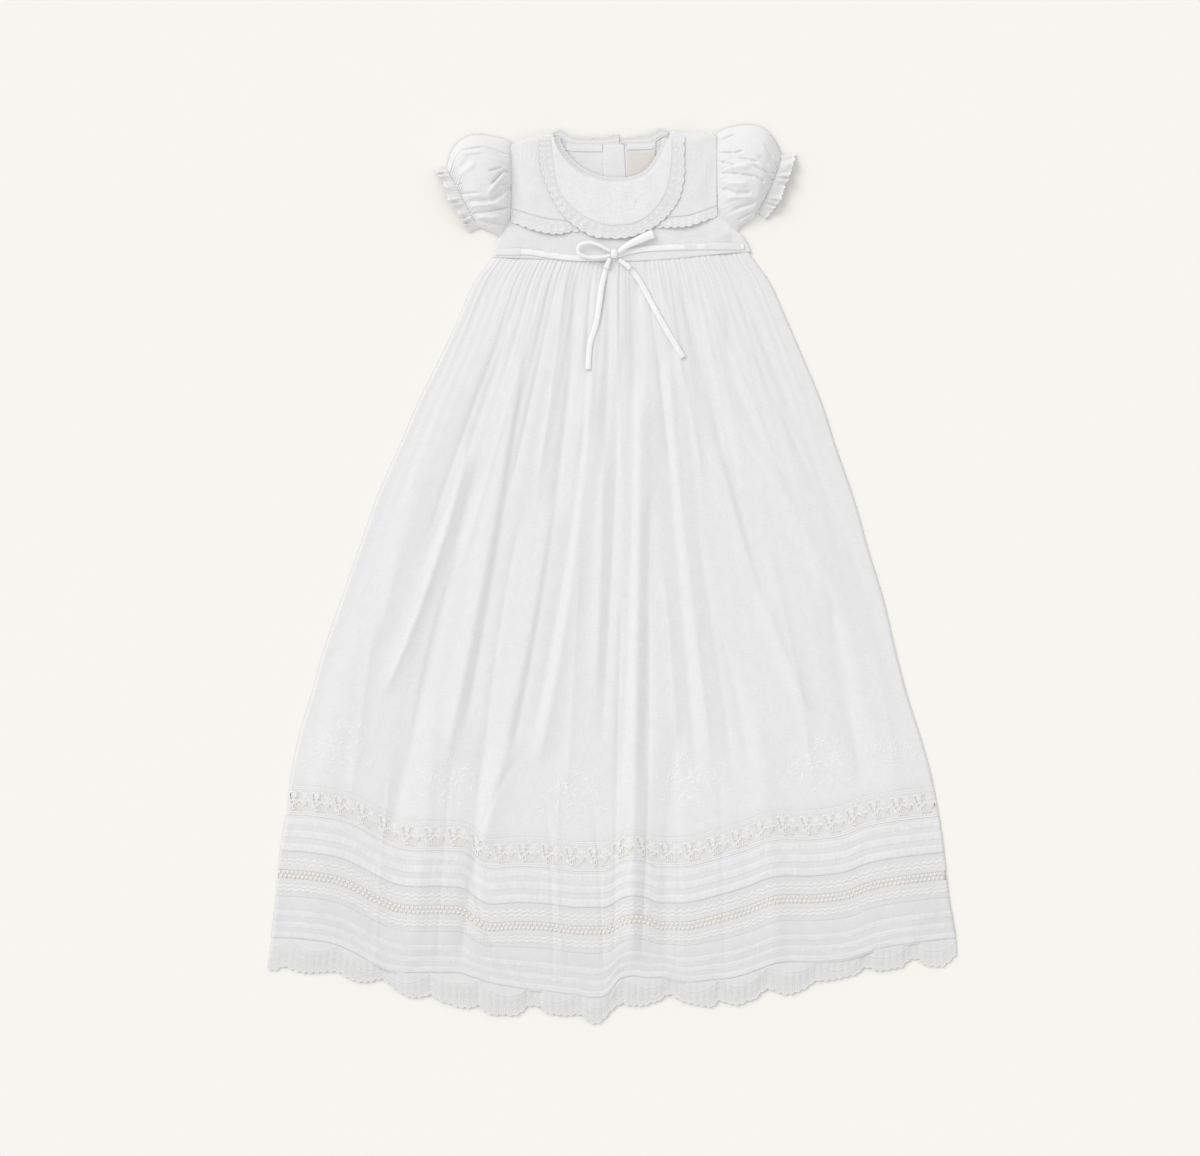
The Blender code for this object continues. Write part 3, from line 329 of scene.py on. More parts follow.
BOW_LOOP_LEFT = Table(
    "x y width lift",
    (-1.3, 295.8, 3.0, 1.2), (-10, 300.5, 3.4, 2.0), (-20, 303.5, 3.6, 2.4), (-28.5, 301.5, 3.6, 2.2),
    (-31, 296.5, 3.6, 1.8), (-27, 291.8, 3.6, 1.4), (-16, 289.6, 3.4, 1.0), (-8, 290.4, 3.0, 0.8),
    (-1.3, 291.8, 2.8, 0.6),
)
BOW_LOOP_RIGHT = Table(
    "x y width lift",
    (6.5, 294.8, 4.0, 0.8), (13, 300.0, 5.5, 1.4), (22, 304.6, 7.0, 1.8), (31, 308.6, 8.0, 2.0),
    (38.4, 311.6, 8.8, 1.8),
)
BOW_TAIL_LEFT = Table(
    "x y width",
    (-1.5, 289.0, 3.6), (-4.6, 281.5, 4.6), (-8.5, 266, 5.2), (-10.6, 251.6, 5.2), (-14.3, 228.6, 5.2),
    (-19.8, 210.2, 5.2), (-21.6, 187.2, 5.2),
)
BOW_TAIL_RIGHT = Table(
    "x y width",
    (6.8, 288.0, 3.8), (16, 281, 4.8), (25, 270, 5.2), (40, 242.4, 5.2), (54, 217.6, 5.2),
    (65.8, 198.3, 5.2),
)
BOW_KNOT_CENTRE = (2.2, 293.6)
BOW_KNOT_SIZE = (6.6, 8.4, 3.4)
KNOT_SEAT = 0.4
# Sleeve rings from armhole to cuff: the shoulder end and the underarm end of each, how far it bends
# to the armhole seam, how far its middle bows towards the body, and its height. The left sleeve is
# the one at -X.
SLEEVES = {
    "left": Table(
        "top_x top_y under_x under_y hug bow height",
        (-93.2, 394.2, -106.3, 307.6, 1.0, 0.0, 7),
        (-101, 397.4, -108.1, 309.6, 0.7, 0.5, 14),
        (-113.6, 401.1, -111.3, 312.0, 0.35, 1.5, 21.5),
        (-127.4, 403.4, -114.1, 314.4, 0.1, 2.0, 25),
        (-139, 397.9, -117.3, 316.4, 0.0, 1.5, 24),
        (-147, 388.0, -120.1, 317.6, 0.0, 0.5, 18),
        (-151.5, 373.0, -122.4, 318.2, 0.0, 0.0, 10.5),
    ),
    "right": Table(
        "top_x top_y under_x under_y hug bow height",
        (98.0, 401.6, 121.9, 311.0, 1.0, 0.0, 7),
        (106.3, 405.7, 123.6, 315.0, 0.7, 0.5, 14),
        (117.3, 410.3, 126.0, 319.0, 0.35, 0.5, 21.5),
        (129.3, 412.6, 128.4, 323.0, 0.1, 0.0, 25),
        (142.5, 407.8, 130.2, 326.6, 0.0, -1.0, 24),
        (150.5, 397.0, 132.0, 329.8, 0.0, -2.0, 18),
        (156.0, 385.4, 133.9, 332.4, 0.0, -2.8, 10.5),
    ),
}
CUFF_FRILLS = {
    "left": Table(
        "top_x top_y under_x under_y hug bow height",
        (-151.9, 372.5, -122.9, 317.6, 0.0, 0.0, 10.5),
        (-156.4, 372.5, -126.8, 315.3, 0.0, -1.0, 11.0),
        (-160.6, 372.0, -130.6, 313.4, 0.0, -2.2, 12.0),
    ),
    "right": Table(
        "top_x top_y under_x under_y hug bow height",
        (156.6, 384.9, 134.4, 331.7, 0.0, -2.8, 10.5),
        (162.0, 385.6, 138.2, 328.6, 0.0, -4.0, 11.0),
        (167.4, 386.9, 142.0, 325.8, 0.0, -5.2, 12.0),
    ),
}


def smooth(share):
    share = np.clip(share, 0.0, 1.0)
    return share * share * (3.0 - 2.0 * share)


def ripple(value, seed, waves=5):
    """A smooth uneven wave between about -1 and 1, the same on each run."""
    rng = np.random.default_rng(seed)
    total = 0.0
    for _ in range(waves):
        total = total + np.sin(value * rng.uniform(0.5, 1.9) + rng.uniform(0.0, 2 * math.pi))
    return total / waves * 1.4


def cord(away, half):
    """1 in the middle of a cord, 0 at half its width from there and beyond."""
    return np.clip(1.0 - np.abs(away) / half, 0.0, 1.0)


def scallop(along, pitch, roundness=0.7):
    """A row of round scallops, 0 between two of them and 1 at the middle of each."""
    return np.abs(np.sin(math.pi * along / pitch)) ** roundness


def most(*patterns):
    """The fullest of several patterns at each point."""
    return np.maximum.reduce(np.broadcast_arrays(*patterns))


def oval(x, y, centre, size, turn=0.0):
    """1 in the middle of an oval, 0 on its rim and less outside."""
    c = math.cos(turn)
    s = math.sin(turn)
    dx = x - centre[0]
    dy = y - centre[1]
    return 1.0 - np.hypot((dx * c + dy * s) / size[0], (dy * c - dx * s) / size[1])


def stroke(x, y, points, half):
    """1 on a line through the points, 0 at half its width and outside."""
    nearest = np.full(np.shape(x), np.inf)
    for (x1, y1), (x2, y2) in zip(points, points[1:]):
        dx = x2 - x1
        dy = y2 - y1
        t = np.clip(((x - x1) * dx + (y - y1) * dy) / (dx * dx + dy * dy), 0.0, 1.0)
        nearest = np.minimum(nearest, np.hypot(x - x1 - t * dx, y - y1 - t * dy))
    return cord(nearest, half)


def shade(colour, factor):
    """A colour made lighter or darker."""
    return tuple(min(1.0, factor * part) for part in colour)


class Value:
    """The output of a shader node, on which sums and products add Math nodes."""

    def __init__(self, shader, socket):
        self.shader = shader
        self.socket = socket

    def maths(self, operation, *values):
        return self.shader.node("ShaderNodeMath", {"operation": operation}, dict(enumerate(values)))

    def __add__(self, other):
        return self.maths("ADD", self, other)

    def __radd__(self, other):
        return self.maths("ADD", other, self)

    def __sub__(self, other):
        return self.maths("SUBTRACT", self, other)

    def __rsub__(self, other):
        return self.maths("SUBTRACT", other, self)

    def __mul__(self, other):
        return self.maths("MULTIPLY", self, other)

    def __rmul__(self, other):
        return self.maths("MULTIPLY", other, self)

    def wave(self):
        return self.maths("SINE", self)

    def above(self, low, high):
        """0 below low, 1 above high, and smooth between them."""
        return self.shader.node("ShaderNodeMapRange", {"interpolation_type": "SMOOTHSTEP"},
                                {"Value": self, "From Min": low, "From Max": high})


class Shader:
    """A material under construction, with a Principled surface."""

    def __init__(self, name, **constants):
        self.material = bpy.data.materials.new(name)
        self.material.use_nodes = True
        self.tree = self.material.node_tree
        self.surface = self.tree.nodes["Principled BSDF"]
        for socket, value in constants.items():
            self.surface.inputs[socket.replace("_", " ")].default_value = value

    def node(self, kind, settings=None, sockets=None, output=0):
        node = self.tree.nodes.new(kind)
        for setting, value in (settings or {}).items():
            setattr(node, setting, value)
        for socket, value in (sockets or {}).items():
            self.feed(node.inputs[socket], value)
        return Value(self, node.outputs[output])

    def feed(self, target, value):
        if isinstance(value, Value):
            self.tree.links.new(value.socket, target)
        else:
            target.default_value = value

    def paint(self, **values):
        for socket, value in values.items():
            self.feed(self.surface.inputs[socket.replace("_", " ")], value)
        return self.material

    def mix(self, share, low, high):
        colours = {"Factor": share, 6: (*low, 1.0) if isinstance(low, tuple) else low,
                   7: (*high, 1.0) if isinstance(high, tuple) else high}
        return self.node("ShaderNodeMix", {"data_type": "RGBA"}, colours, output=2)

    def cloth_place(self):
        """Where a point lies along and down the flat cloth, in millimetres."""
        place = self.node("ShaderNodeUVMap", {"uv_map": "cloth"})
        parts = self.node("ShaderNodeSeparateXYZ", sockets={0: place})
        return place, parts, Value(self, parts.socket.node.outputs[1])

    def fullness(self):
        return self.node("ShaderNodeAttribute", {"attribute_name": "fullness"}, output=2)

    def noise(self, place, scale, detail=2.0, stretch=(1.0, 1.0, 1.0)):
        spread = self.node("ShaderNodeMapping", sockets={"Vector": place, "Scale": stretch})
        return self.node("ShaderNodeTexNoise", sockets={"Vector": spread, "Scale": scale, "Detail": detail})

    def bump(self, height, depth, strength=1.0):
        return self.node("ShaderNodeBump", sockets={"Height": height, "Distance": depth * MM,
                                                    "Strength": strength})


def lawn(name="lawn", fade=1.0):
    """Fine white cotton: a plain weave with slubs, whiter where it lies in several layers. fade darkens the
    whole colour as painted shade.
    """
    colours = bpy.context.scene.gown_colours
    pitch = bpy.context.scene.gown_sizes.weave_pitch / MM
    shader = Shader(name, Roughness=0.86, Sheen_Weight=0.12, Sheen_Roughness=0.5, Specular_IOR_Level=0.25)
    place, across, down = shader.cloth_place()
    turns = 2 * math.pi / pitch
    weave = (across * turns).wave() * (down * turns).wave()
    slubs = shader.noise(place, 1.0, 3.0, (1.1, 0.10, 1.0))
    slubs = slubs + shader.noise(place, 1.0, 3.0, (0.10, 1.1, 1.0))
    cloud = shader.noise(place, 0.06, 2.0)
    single = shade(colours.lawn, fade)
    layer = shader.mix(shader.fullness(), single, shade(colours.lawn_layers, fade))
    uneven = (slubs * 0.5).above(0.38, 0.64) * 0.75 + cloud.above(0.35, 0.7) * 0.25
    tone = shader.mix(uneven, layer, shade(single, 0.935))
    return shader.paint(Base_Color=tone, Normal=shader.bump(weave * 0.10 + slubs * 0.55, 0.10, 0.75))


def lace(name="lace", net=1.35, shaded=False, fade=1.0):
    """Cotton lace: a six-sided net, close and white where the stitches are full. fade darkens the whole
    colour as painted shade.
    """
    colours = bpy.context.scene.gown_colours
    # shaded gives the backs of the lace bands, coloured in painted shade as they show through the openings.
    cotton = shade(colours.lace_painted_shade if shaded else colours.lace, fade)
    # The ground of the net's openings is painted shade: the shaded layers below, seen through the net.
    ground = shade(cotton, 0.9) if shaded else shade(colours.lace_gap_painted_shade, fade)
    shader = Shader(name, Roughness=0.9, Sheen_Weight=0.1, Specular_IOR_Level=0.2)
    place, across, down = shader.cloth_place()
    turns = 2 * math.pi / net
    first = (across * turns + math.pi / 2).wave()
    second = (across * (0.5 * turns) + down * (0.866 * turns) + math.pi / 2).wave()
    third = (across * (0.5 * turns) - down * (0.866 * turns) + math.pi / 2).wave()
    mesh_gap = (first + second + third).above(0.2, 1.9)
    full = shader.fullness()
    gap = mesh_gap * (1.0 - full.above(0.05, 0.45))
    twist = shader.noise(place, 1.4, 2.0)
    thread = shader.mix(twist, shade(cotton, 0.95), cotton)
    stitched = shader.mix(full.above(0.4, 0.95), thread, shade(cotton, 1.045))
    stitches = (across * (turns * 2.2)).wave() * 0.10 + twist * 0.5
    return shader.paint(Base_Color=shader.mix(gap * 0.75, stitched, ground),
                        Normal=shader.bump(stitches * full - gap * 0.9, 0.22, 0.8))


def satin():
    """Ribbon: smooth and bright along its length, with fine ribs across."""
    colours = bpy.context.scene.gown_colours
    shader = Shader("satin", Roughness=0.32, Sheen_Weight=0.1, Specular_IOR_Level=0.6, Anisotropic=0.6)
    place, across, down = shader.cloth_place()
    ribs = (across * (2 * math.pi / 0.45)).wave()
    edge = (down * (2 * math.pi)).wave()
    streak = shader.noise(place, 1.0, 2.0, (0.12, 2.4, 1.0))
    tone = shader.mix(streak.above(0.3, 0.75), tuple(colours.satin), shade(colours.satin, 0.93))
    rough = shader.node("ShaderNodeMapRange", sockets={"Value": streak, "To Min": 0.26, "To Max": 0.42})
    height = ribs * 0.12 + streak * 0.6 + edge * 0.04
    return shader.paint(Base_Color=tone, Roughness=rough, Normal=shader.bump(height, 0.08, 0.6))


def label_cloth():
    """Blank woven label: cream, with fine close ribs."""
    colours = bpy.context.scene.gown_colours
    shader = Shader("label", Roughness=0.7, Sheen_Weight=0.1, Specular_IOR_Level=0.35)
    place, _, down = shader.cloth_place()
    ribs = (down * (2 * math.pi / 0.5)).wave()
    threads = shader.noise(place, 1.0, 2.0, (2.0, 0.3, 1.0))
    tone = shader.mix(threads.above(0.3, 0.7), tuple(colours.label), shade(colours.label, 0.93))
    worn = shader.mix(shader.fullness(), tone, shade(colours.label, 1.06))
    return shader.paint(Base_Color=worn, Normal=shader.bump(ribs * 0.3 + threads * 0.4, 0.12, 0.8))


def floor_paint():
    """Plain pale studio surface, with a barely uneven tone."""
    colours = bpy.context.scene.gown_colours
    shader = Shader("studio_surface", Roughness=0.95, Specular_IOR_Level=0.1)
    where = shader.node("ShaderNodeTexCoord", output=3)
    cloud = shader.node("ShaderNodeTexNoise", sockets={"Vector": where, "Scale": 3.0, "Detail": 2.0})
    tone = shader.mix(cloud, tuple(colours.floor), shade(colours.floor, 0.997))
    return shader.paint(Base_Color=tone)


MATERIALS = {}


def finish_material(name):
    """The material of a finish, made when it is first asked for."""
    makers = {
        "lawn": lawn, "lace": lace, "satin_ribbon": satin, "label": label_cloth,
        # The lace in painted shade, for the backs of the lace bands seen through the openings.
        "lace_behind_painted_shade": lambda: lace("lace_behind_painted_shade", shaded=True),
        # Darker copies, as painted shade: the lace inside the neckline, and the bands further down the
        # skirt where less light falls.
        "lace_neck": lambda: lace("lace_neck", fade=0.95),
        "lace_beading": lambda: lace("lace_beading", fade=0.97),
        "lace_hem": lambda: lace("lace_hem", fade=0.95),
        "lawn_upper_tucks": lambda: lawn("lawn_upper_tucks", 0.955),
        "lawn_lower_tucks": lambda: lawn("lawn_lower_tucks", 0.918),
    }
    if name not in MATERIALS:
        MATERIALS[name] = makers[name]()
    return MATERIALS[name]


def cloth_object(name, mesh, arrange):
    """An object from a bmesh, whose points, places on the flat cloth and fullness arrange() gives."""
    data = bpy.data.meshes.new(name)
    mesh.to_mesh(data)
    mesh.free()
    points = np.empty(3 * len(data.vertices))
    data.vertices.foreach_get("co", points)
    points, flat, full = arrange(points.reshape(-1, 3))
    data.vertices.foreach_set("co", points.ravel())
    corners = np.empty(len(data.loops), int)
    data.loops.foreach_get("vertex_index", corners)
    data.uv_layers.new(name="cloth").data.foreach_set("uv", flat[corners].ravel())
    fullness = data.attributes.new("fullness", "FLOAT", "POINT").data
    fullness.foreach_set("value", np.ascontiguousarray(full, dtype=np.float32))
    data.shade_smooth()
    data.update()
    piece = bpy.data.objects.new(name, data)
    bpy.context.scene.collection.objects.link(piece)
    return piece


def plain_piece(name, mesh, full):
    """An object from a bmesh, whose place on the flat cloth is its own x and y."""
    return cloth_object(name, mesh, lambda points: (points, points[:, :2] / MM, np.full(len(points), full)))


def grid_cloth(name, columns, rows, place, wall=0.45, gaps=None):
    """A thin shell of cloth from a grid of columns and rows.

    place(u, v) gives, for shares from the left edge and down from the upper edge, the point on the
    outside of the cloth in millimetres, where it lies on the flat cloth, and how full the stitches
    or layers are. gaps(u, v) tells which cells are cut out. The rims of the gaps are rounded off.
    """
    mesh = bmesh.new()
    bmesh.ops.create_grid(mesh, x_segments=columns, y_segments=rows, size=0.5)
    if gaps:
        centres = np.array([face.calc_center_median()[:2] for face in mesh.faces])
        cut = gaps(centres[:, 0] + 0.5, 0.5 - centres[:, 1])
        faces = list(mesh.faces)
        bmesh.ops.delete(mesh, geom=[faces[k] for k in np.flatnonzero(cut)], context="FACES")
        rims = [vert for vert in mesh.verts
                if vert.is_boundary and max(abs(vert.co.x), abs(vert.co.y)) < 0.499]
        for _ in range(2):
            bmesh.ops.smooth_vert(mesh, verts=rims, factor=0.4, use_axis_x=True, use_axis_y=True)

    def arrange(points):
        u = np.clip(points[:, 0] + 0.5, 0.0, 1.0)
        v = np.clip(0.5 - points[:, 1], 0.0, 1.0)
        x, y, z, across, down, full = (np.broadcast_to(part, u.shape) for part in place(u, v))
        return np.stack((x, y, z), axis=1) * MM, np.stack((across, down), axis=1), full

    piece = cloth_object(name, mesh, arrange)
    if wall:
        shell = piece.modifiers.new("wall", "SOLIDIFY")
        shell.thickness = wall * MM
        shell.offset = -1.0
    return piece


def dress(piece, slot, nodes=(), area=None, finish=None):
    """Give a finished piece its material and its body, and hide the parts that it stands for. Its area is
    not used.
    """
    piece.data.materials.append(finish_material(finish or slot))
    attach(piece, "root")
    if nodes:
        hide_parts(*nodes)
    return piece


def dress_sheet(piece, slot, node, cut, finish=None):
    """Dress a piece of which CUTS holds the flat size."""
    width, depth, area = CUTS[cut]
    return dress(piece, slot, [node], area, finish)


def skirt_sides(y):
    return SKIRT_SIDES.read("left", "y", y), SKIRT_SIDES.read("right", "y", y)


def across_skirt(share, y):
    left, right = skirt_sides(y)
    return left + (right - left) * share


def fold_rise(fold, x, y):
    """What one fold adds to the skirt's height, with a narrow crest on its soft round body."""
    y1, x1, y2, x2, y3, x3, width, rise = fold
    crest = (x1 * (y - y2) * (y - y3) / ((y1 - y2) * (y1 - y3))
             + x2 * (y - y1) * (y - y3) / ((y2 - y1) * (y2 - y3))
             + x3 * (y - y1) * (y - y2) / ((y3 - y1) * (y3 - y2)))
    fade = smooth((y1 + FOLD_FADE - y) / FOLD_FADE) * smooth((y - y3 + FOLD_FADE) / FOLD_FADE)
    away = (x - crest) / width
    return rise * fade * (0.72 * np.exp(-away ** 2) + 0.28 * np.exp(-(2.6 * away) ** 2))


def gather_rise(number, below):
    """What the waist's gathers add to the skirt's height a way below the seam."""
    wander = number + sum(size * ripple(number * rate, seed) for size, rate, seed in GATHER_WANDER)
    crest = 2.0 * np.abs(np.cos(math.pi * wander)) ** 0.8 - 1.0
    depth = GATHER_HEIGHT * (0.8 + 0.6 * ripple(number * 0.9, 5))
    reach = np.maximum(GATHER_LEAST_REACH, GATHER_REACH + GATHER_UNEVEN * ripple(number * 0.8, 9))
    pucker = PUCKER_HEIGHT * ripple(number * 6.0, 10) * np.exp(-below / PUCKER_REACH)
    pleat = PLEAT_HEIGHT * ripple(number * 2.6, 6) * smooth(below / PLEAT_START)
    return depth * crest * np.exp(-below / reach) + pucker + pleat * np.exp(-below / PLEAT_REACH)


def skirt_top(share, y):
    """Height of the outside of the skirt front."""
    left, right = skirt_sides(y)
    x = left + (right - left) * share
    inward = np.minimum(x - left, right - x)
    below = np.maximum(0.0, WAIST_SEAM.read("y", "share", share) - y)
    rise = WAIST_LIFT + (BODY_LIFT - WAIST_LIFT) * smooth(below / WAIST_ROLL)
    for fold in (*FOLDS.rows, *CREASES.rows):
        rise = rise + fold_rise(fold, x, y)
    number = share * GATHER_COUNT
    slack = ripple(number * 1.1, 7) * ripple(y * 0.012 + number * 0.2, 8) * smooth(below / SLACK_START)
    height = (smooth(inward / SIDE_ROLL) * (rise + SLACK_HEIGHT * slack)
              + smooth(inward / GATHER_ROLL) * gather_rise(number, below))
    top = FRONT_BED + FRONT_WALL + np.maximum(0.0, height)
    turn = np.sqrt(1.0 - (1.0 - np.clip(inward / SEAM_TURN, 0.0, 1.0)) ** 2)
    return SEAM_LEVEL + (top - SEAM_LEVEL) * turn


def lace_line(share):
    return LACE_LINE.read("y", "share", share)


def seam_dip(past):
    """How far cloth sinks as it passes under the edge of its neighbour."""
    return 0.75 * smooth((past + 0.5) / 1.0)


def add_skirt():
    """The gathered front of the skirt, and the plain back that it lies on."""
    def front(u, v):
        seam = WAIST_SEAM.read("y", "share", u)
        hem = lace_line(u)
        y = seam + SEAM_TUCK + (hem - seam - 2.0 * SEAM_TUCK) * (0.35 * v * v + 0.65 * v)
        dip = 0.5 * smooth((y - seam + 1.6) / 2.0) + seam_dip(hem - y)
        full = 0.35 * np.exp((y - seam) / 9.0)
        return across_skirt(u, y), y, skirt_top(u, y) - dip, u * HEM_WIDTH, seam - y, full

    def back(u, v):
        top = WAIST_SEAM.read("y", "share", u) - SEAM_GAP
        y = top + (lace_line(u) - top) * v
        return across_skirt(u, y) + back_inset(u), y, BACK_LEVEL, u * HEM_WIDTH, top - y, 0.3

    piece = grid_cloth("skirt_front_cloth", 448, 150, front, wall=0.0)
    dress_sheet(piece, "lawn", "skirt_front", "skirt")
    piece = grid_cloth("skirt_back_cloth", 84, 40, back, wall=1.0)
    dress_sheet(piece, "lawn", "skirt_back", "skirt")


def back_inset(u):
    """How far a point of a back panel is drawn in from the side edges of the front."""
    return BACK_INSET * (1.0 - 2.0 * u)


def band_place(u, drop):
    """The point of a trim band a given drop below the lace line."""
    lifted = HEM_RISE.read("rise", "share", u) * np.clip((drop - HEM_RISE_TOP) / HEM_RISE_REACH, 0.0, 1.0)
    y = lace_line(u) - drop + lifted
    return across_skirt(u, y), y


def back_band(name, band, rows, full, behind_lace=False):
    """The back of a trim band. Behind lace it lies close under the front, coloured in painted shade as it
    shows through the openings.
    """
    def place(u, v):
        drop = band[0] + (band[1] - band[0]) * v
        x, y = band_place(u, drop)
        level = np.maximum(BACK_LEVEL, skirt_top(u, y) - LACE_BACK) if behind_lace else BACK_LEVEL
        return x + back_inset(u), y, level, u * HEM_WIDTH, drop, full

    piece = grid_cloth(name + "_cloth", 224 if behind_lace else 112, rows, place, wall=0.6)
    if behind_lace:
        # Painted shade: the back of the lace as it shows through the openings.
        dress(piece, "lace", [name], finish="lace_behind_painted_shade")
    else:
        dress(piece, "lawn", [name])


def lace_flower(x, y, centre, radius, petals, turn=0.3):
    """Petals round a raised eye."""
    parts = [np.clip(oval(x, y, centre, (0.42 * radius, 0.42 * radius)) * 2.0, 0.0, 1.0)]
    for k in range(petals):
        angle = turn + 2 * math.pi * k / petals
        middle = (centre[0] + 0.68 * radius * math.cos(angle), centre[1] + 0.68 * radius * math.sin(angle))
        petal = oval(x, y, middle, (0.5 * radius, 0.3 * radius), angle)
        parts.append(np.clip(petal * 2.2, 0.0, 0.9) ** 0.6)
    return most(*parts)


LACE_LEAVES = Table(
    "x y long wide turn",
    (-5.6, 8.6, 3.0, 1.2, 0.5), (-4.6, 12.6, 2.6, 1.1, -0.7), (-8.2, 18.6, 2.6, 1.2, 1.1),
    (8.6, 18.0, 2.4, 1.1, -1.0), (9.4, 13.4, 2.0, 1.0, 0.8), (-9.6, 6.2, 2.2, 1.0, -0.4),
    (1.6, 14.6, 2.2, 0.9, 0.2), (-0.4, 5.2, 2.0, 0.9, -0.3),
)
LACE_SLITS = Table(
    "x y long wide turn",
    (-1.4, 9.4, 1.6, 2.5, 0.15), (-3.2, 11.6, 1.2, 0.6, -0.3), (6.3, 18.6, 2.2, 0.75, -0.25),
    (8.3, 16.6, 0.7, 1.8, 0.25), (-0.2, 22.9, 5.4, 0.45, 0.0), (-8.9, 10.2, 0.6, 3.3, -0.28),
    (-7.2, 15.4, 0.5, 1.0, 0.5),
)
LACE_SCROLL = ((-10.6, 12.0), (-7.4, 10.4), (-3.4, 10.2), (0.0, 12.4), (3.0, 14.6), (6.4, 13.6),
               (10.6, 15.6))
LACE_FLOWERS = Table("x y radius petals", (4.4, 9.2, 3.4, 5), (-6.0, 6.6, 1.9, 4))
# Cords along both edges of the lace, each by its level and half its width
LACE_EDGE_CORDS = ((0.9, 0.8), (3.0, 0.5), (24.2, 0.7), (26.6, 0.7))
BOAT_CENTRE = (0.0, 17.6)


def in_boat(x, y, rim=0.0):
    """Whether a point lies in the boat-shaped opening of a repeat, or within a rim round it."""
    round_part = oval(x, y, BOAT_CENTRE, (5.4 + rim, 5.2 + 0.8 * rim)) > 0
    return round_part & (y > 14.0 - rim + 0.8 * np.abs(x)) & (y < 21.7 + 0.7 * rim)


def insertion_pattern(x, y):
    """One repeat of the flower lace: how full it is, and whether it is open."""
    full = [np.where(in_boat(x, y, 1.0), 0.75, 0.0), 0.9 * stroke(x, y, LACE_SCROLL, 0.75)]
    for cx, cy, radius, petals in LACE_FLOWERS.rows:
        full.append(0.8 * lace_flower(x, y, (cx, cy), radius, int(petals)))
    for cx, cy, long, wide, turn in LACE_LEAVES.rows:
        full.append(np.clip(2.0 * oval(x, y, (cx, cy), (long, wide), turn), 0.0, 0.85))
    for level, half in LACE_EDGE_CORDS:
        full.append(cord(y - level, half))
    bars = (np.abs((x + 0.55) % 1.9 - 0.95) < 0.42) & (x < 0.6)
    open_part = in_boat(x, y) & ~bars
    for cx, cy, long, wide, turn in LACE_SLITS.rows:
        open_part = open_part | (oval(x, y, (cx, cy), (long, wide), turn) > 0)
    return most(*full), open_part


def add_insertion_lace():
    """Flower lace let in round the skirt, with its openings cut through."""
    repeat = HEM_WIDTH / LACE_REPEATS
    deep = LACE_BAND[1] - LACE_BAND[0]

    def pattern(u, v):
        x = (u * LACE_REPEATS % 1.0 - 0.5) * repeat
        return insertion_pattern(x, v * deep)

    def place(u, v):
        drop = LACE_BAND[0] + deep * v
        x, y = band_place(u, drop)
        full = pattern(u, v)[0]
        return x, y, skirt_top(u, y) + LACE_LEVEL + 0.3 * full, u * HEM_WIDTH, drop, full

    piece = grid_cloth("insertion_lace_front_open", 40 * LACE_REPEATS, 50, place, wall=0.0,
                       gaps=lambda u, v: pattern(u, v)[1])
    dress(piece, "lace", ["insertion_lace_front"])
    back_band("insertion_lace_back", LACE_BAND, 10, 0.1, behind_lace=True)


def tuck_profile(drop, tucks):
    """What the sewn tucks add to a band's height, and where the cloth lies in three layers."""
    rise = np.zeros(np.shape(drop))
    layers = np.zeros(np.shape(drop))
    for top, bottom in tucks:
        inside = (drop >= top) & (drop <= bottom)
        t = np.clip((drop - top) / (bottom - top), 0.0, 1.0)
        pad = 0.05 + 0.22 * smooth(t * 5.0) - 0.12 * smooth((t - 0.85) / 0.15)
        rise = np.where(inside, pad, rise)
        rise = rise - 0.1 * np.exp(-((drop - top + 0.25) / 0.4) ** 2)
        layers = np.maximum(layers, smooth((drop - top + 0.2) / 0.4) * smooth((bottom + 0.2 - drop) / 0.3))
    return rise, layers


def tuck_band(name, band, tucks, finish):
    """A band of lawn with three sewn tucks that lie over each other's seams."""
    top, bottom = band
    drops = [top - SEAM_TUCK, top - 0.6, top + 0.1, top + 0.8]
    for fold, edge in tucks:
        drops += [fold + step for step in (-0.7, -0.25, 0.0, 0.5, 1.2, 2.4)]
        drops += [edge + step for step in (-1.6, -0.6, -0.2, 0.0, 0.06, 0.5)]
    drops = [drop for drop in drops if drop < bottom - 0.1]
    drops = np.array(drops + [bottom - 0.1, bottom + 0.6, bottom + SEAM_TUCK])
    rows = len(drops) - 1

    def place(u, v):
        drop = np.interp(v * rows, np.arange(rows + 1), drops)
        x, y = band_place(u, drop)
        rise, layers = tuck_profile(drop, tucks)
        pucker = 0.08 * ripple(u * 420.0 + drop * 0.05, 21) * layers
        dip = seam_dip(top - drop) + seam_dip(drop - bottom)
        return x, y, skirt_top(u, y) + rise + pucker - 0.15 - dip, u * HEM_WIDTH, drop, layers

    piece = grid_cloth(name + "_cloth", 560, rows, place, wall=0.0)
    dress(piece, "lawn", [name], finish=finish)


def add_tuck_bands():
    """The two tucked bands, front and back."""
    # The front bands take lawns darkened as painted shade, the lower band more.
    tuck_band("tuck_band_upper_front", UPPER_TUCKS_BAND, UPPER_TUCKS, "lawn_upper_tucks")
    tuck_band("tuck_band_lower_front", LOWER_TUCKS_BAND, LOWER_TUCKS, "lawn_lower_tucks")
    back_band("tuck_band_upper_back", UPPER_TUCKS_BAND, 10, 0.4)
    back_band("tuck_band_lower_back", LOWER_TUCKS_BAND, 10, 0.4)


KNOT_PITCH = 4.15
KNOT_ROWS = (18.7, 22.6)
KNOT_RADIUS = 1.2
KNOT_FLATNESS = 0.4
KNOT_SINK = 0.15
LADDER = (16.6, 24.8)
WAVE_PITCH = 7.6
# Wavy cords of the two scalloped edges, by level and the way that they bulge
WAVY_CORDS = ((9.0, -1.0), (12.6, -1.0), (30.2, 1.0), (33.8, 1.0))
STRAIGHT_CORDS = (LADDER[0] - 0.8, LADDER[1] + 0.8, 14.2, 27.6)
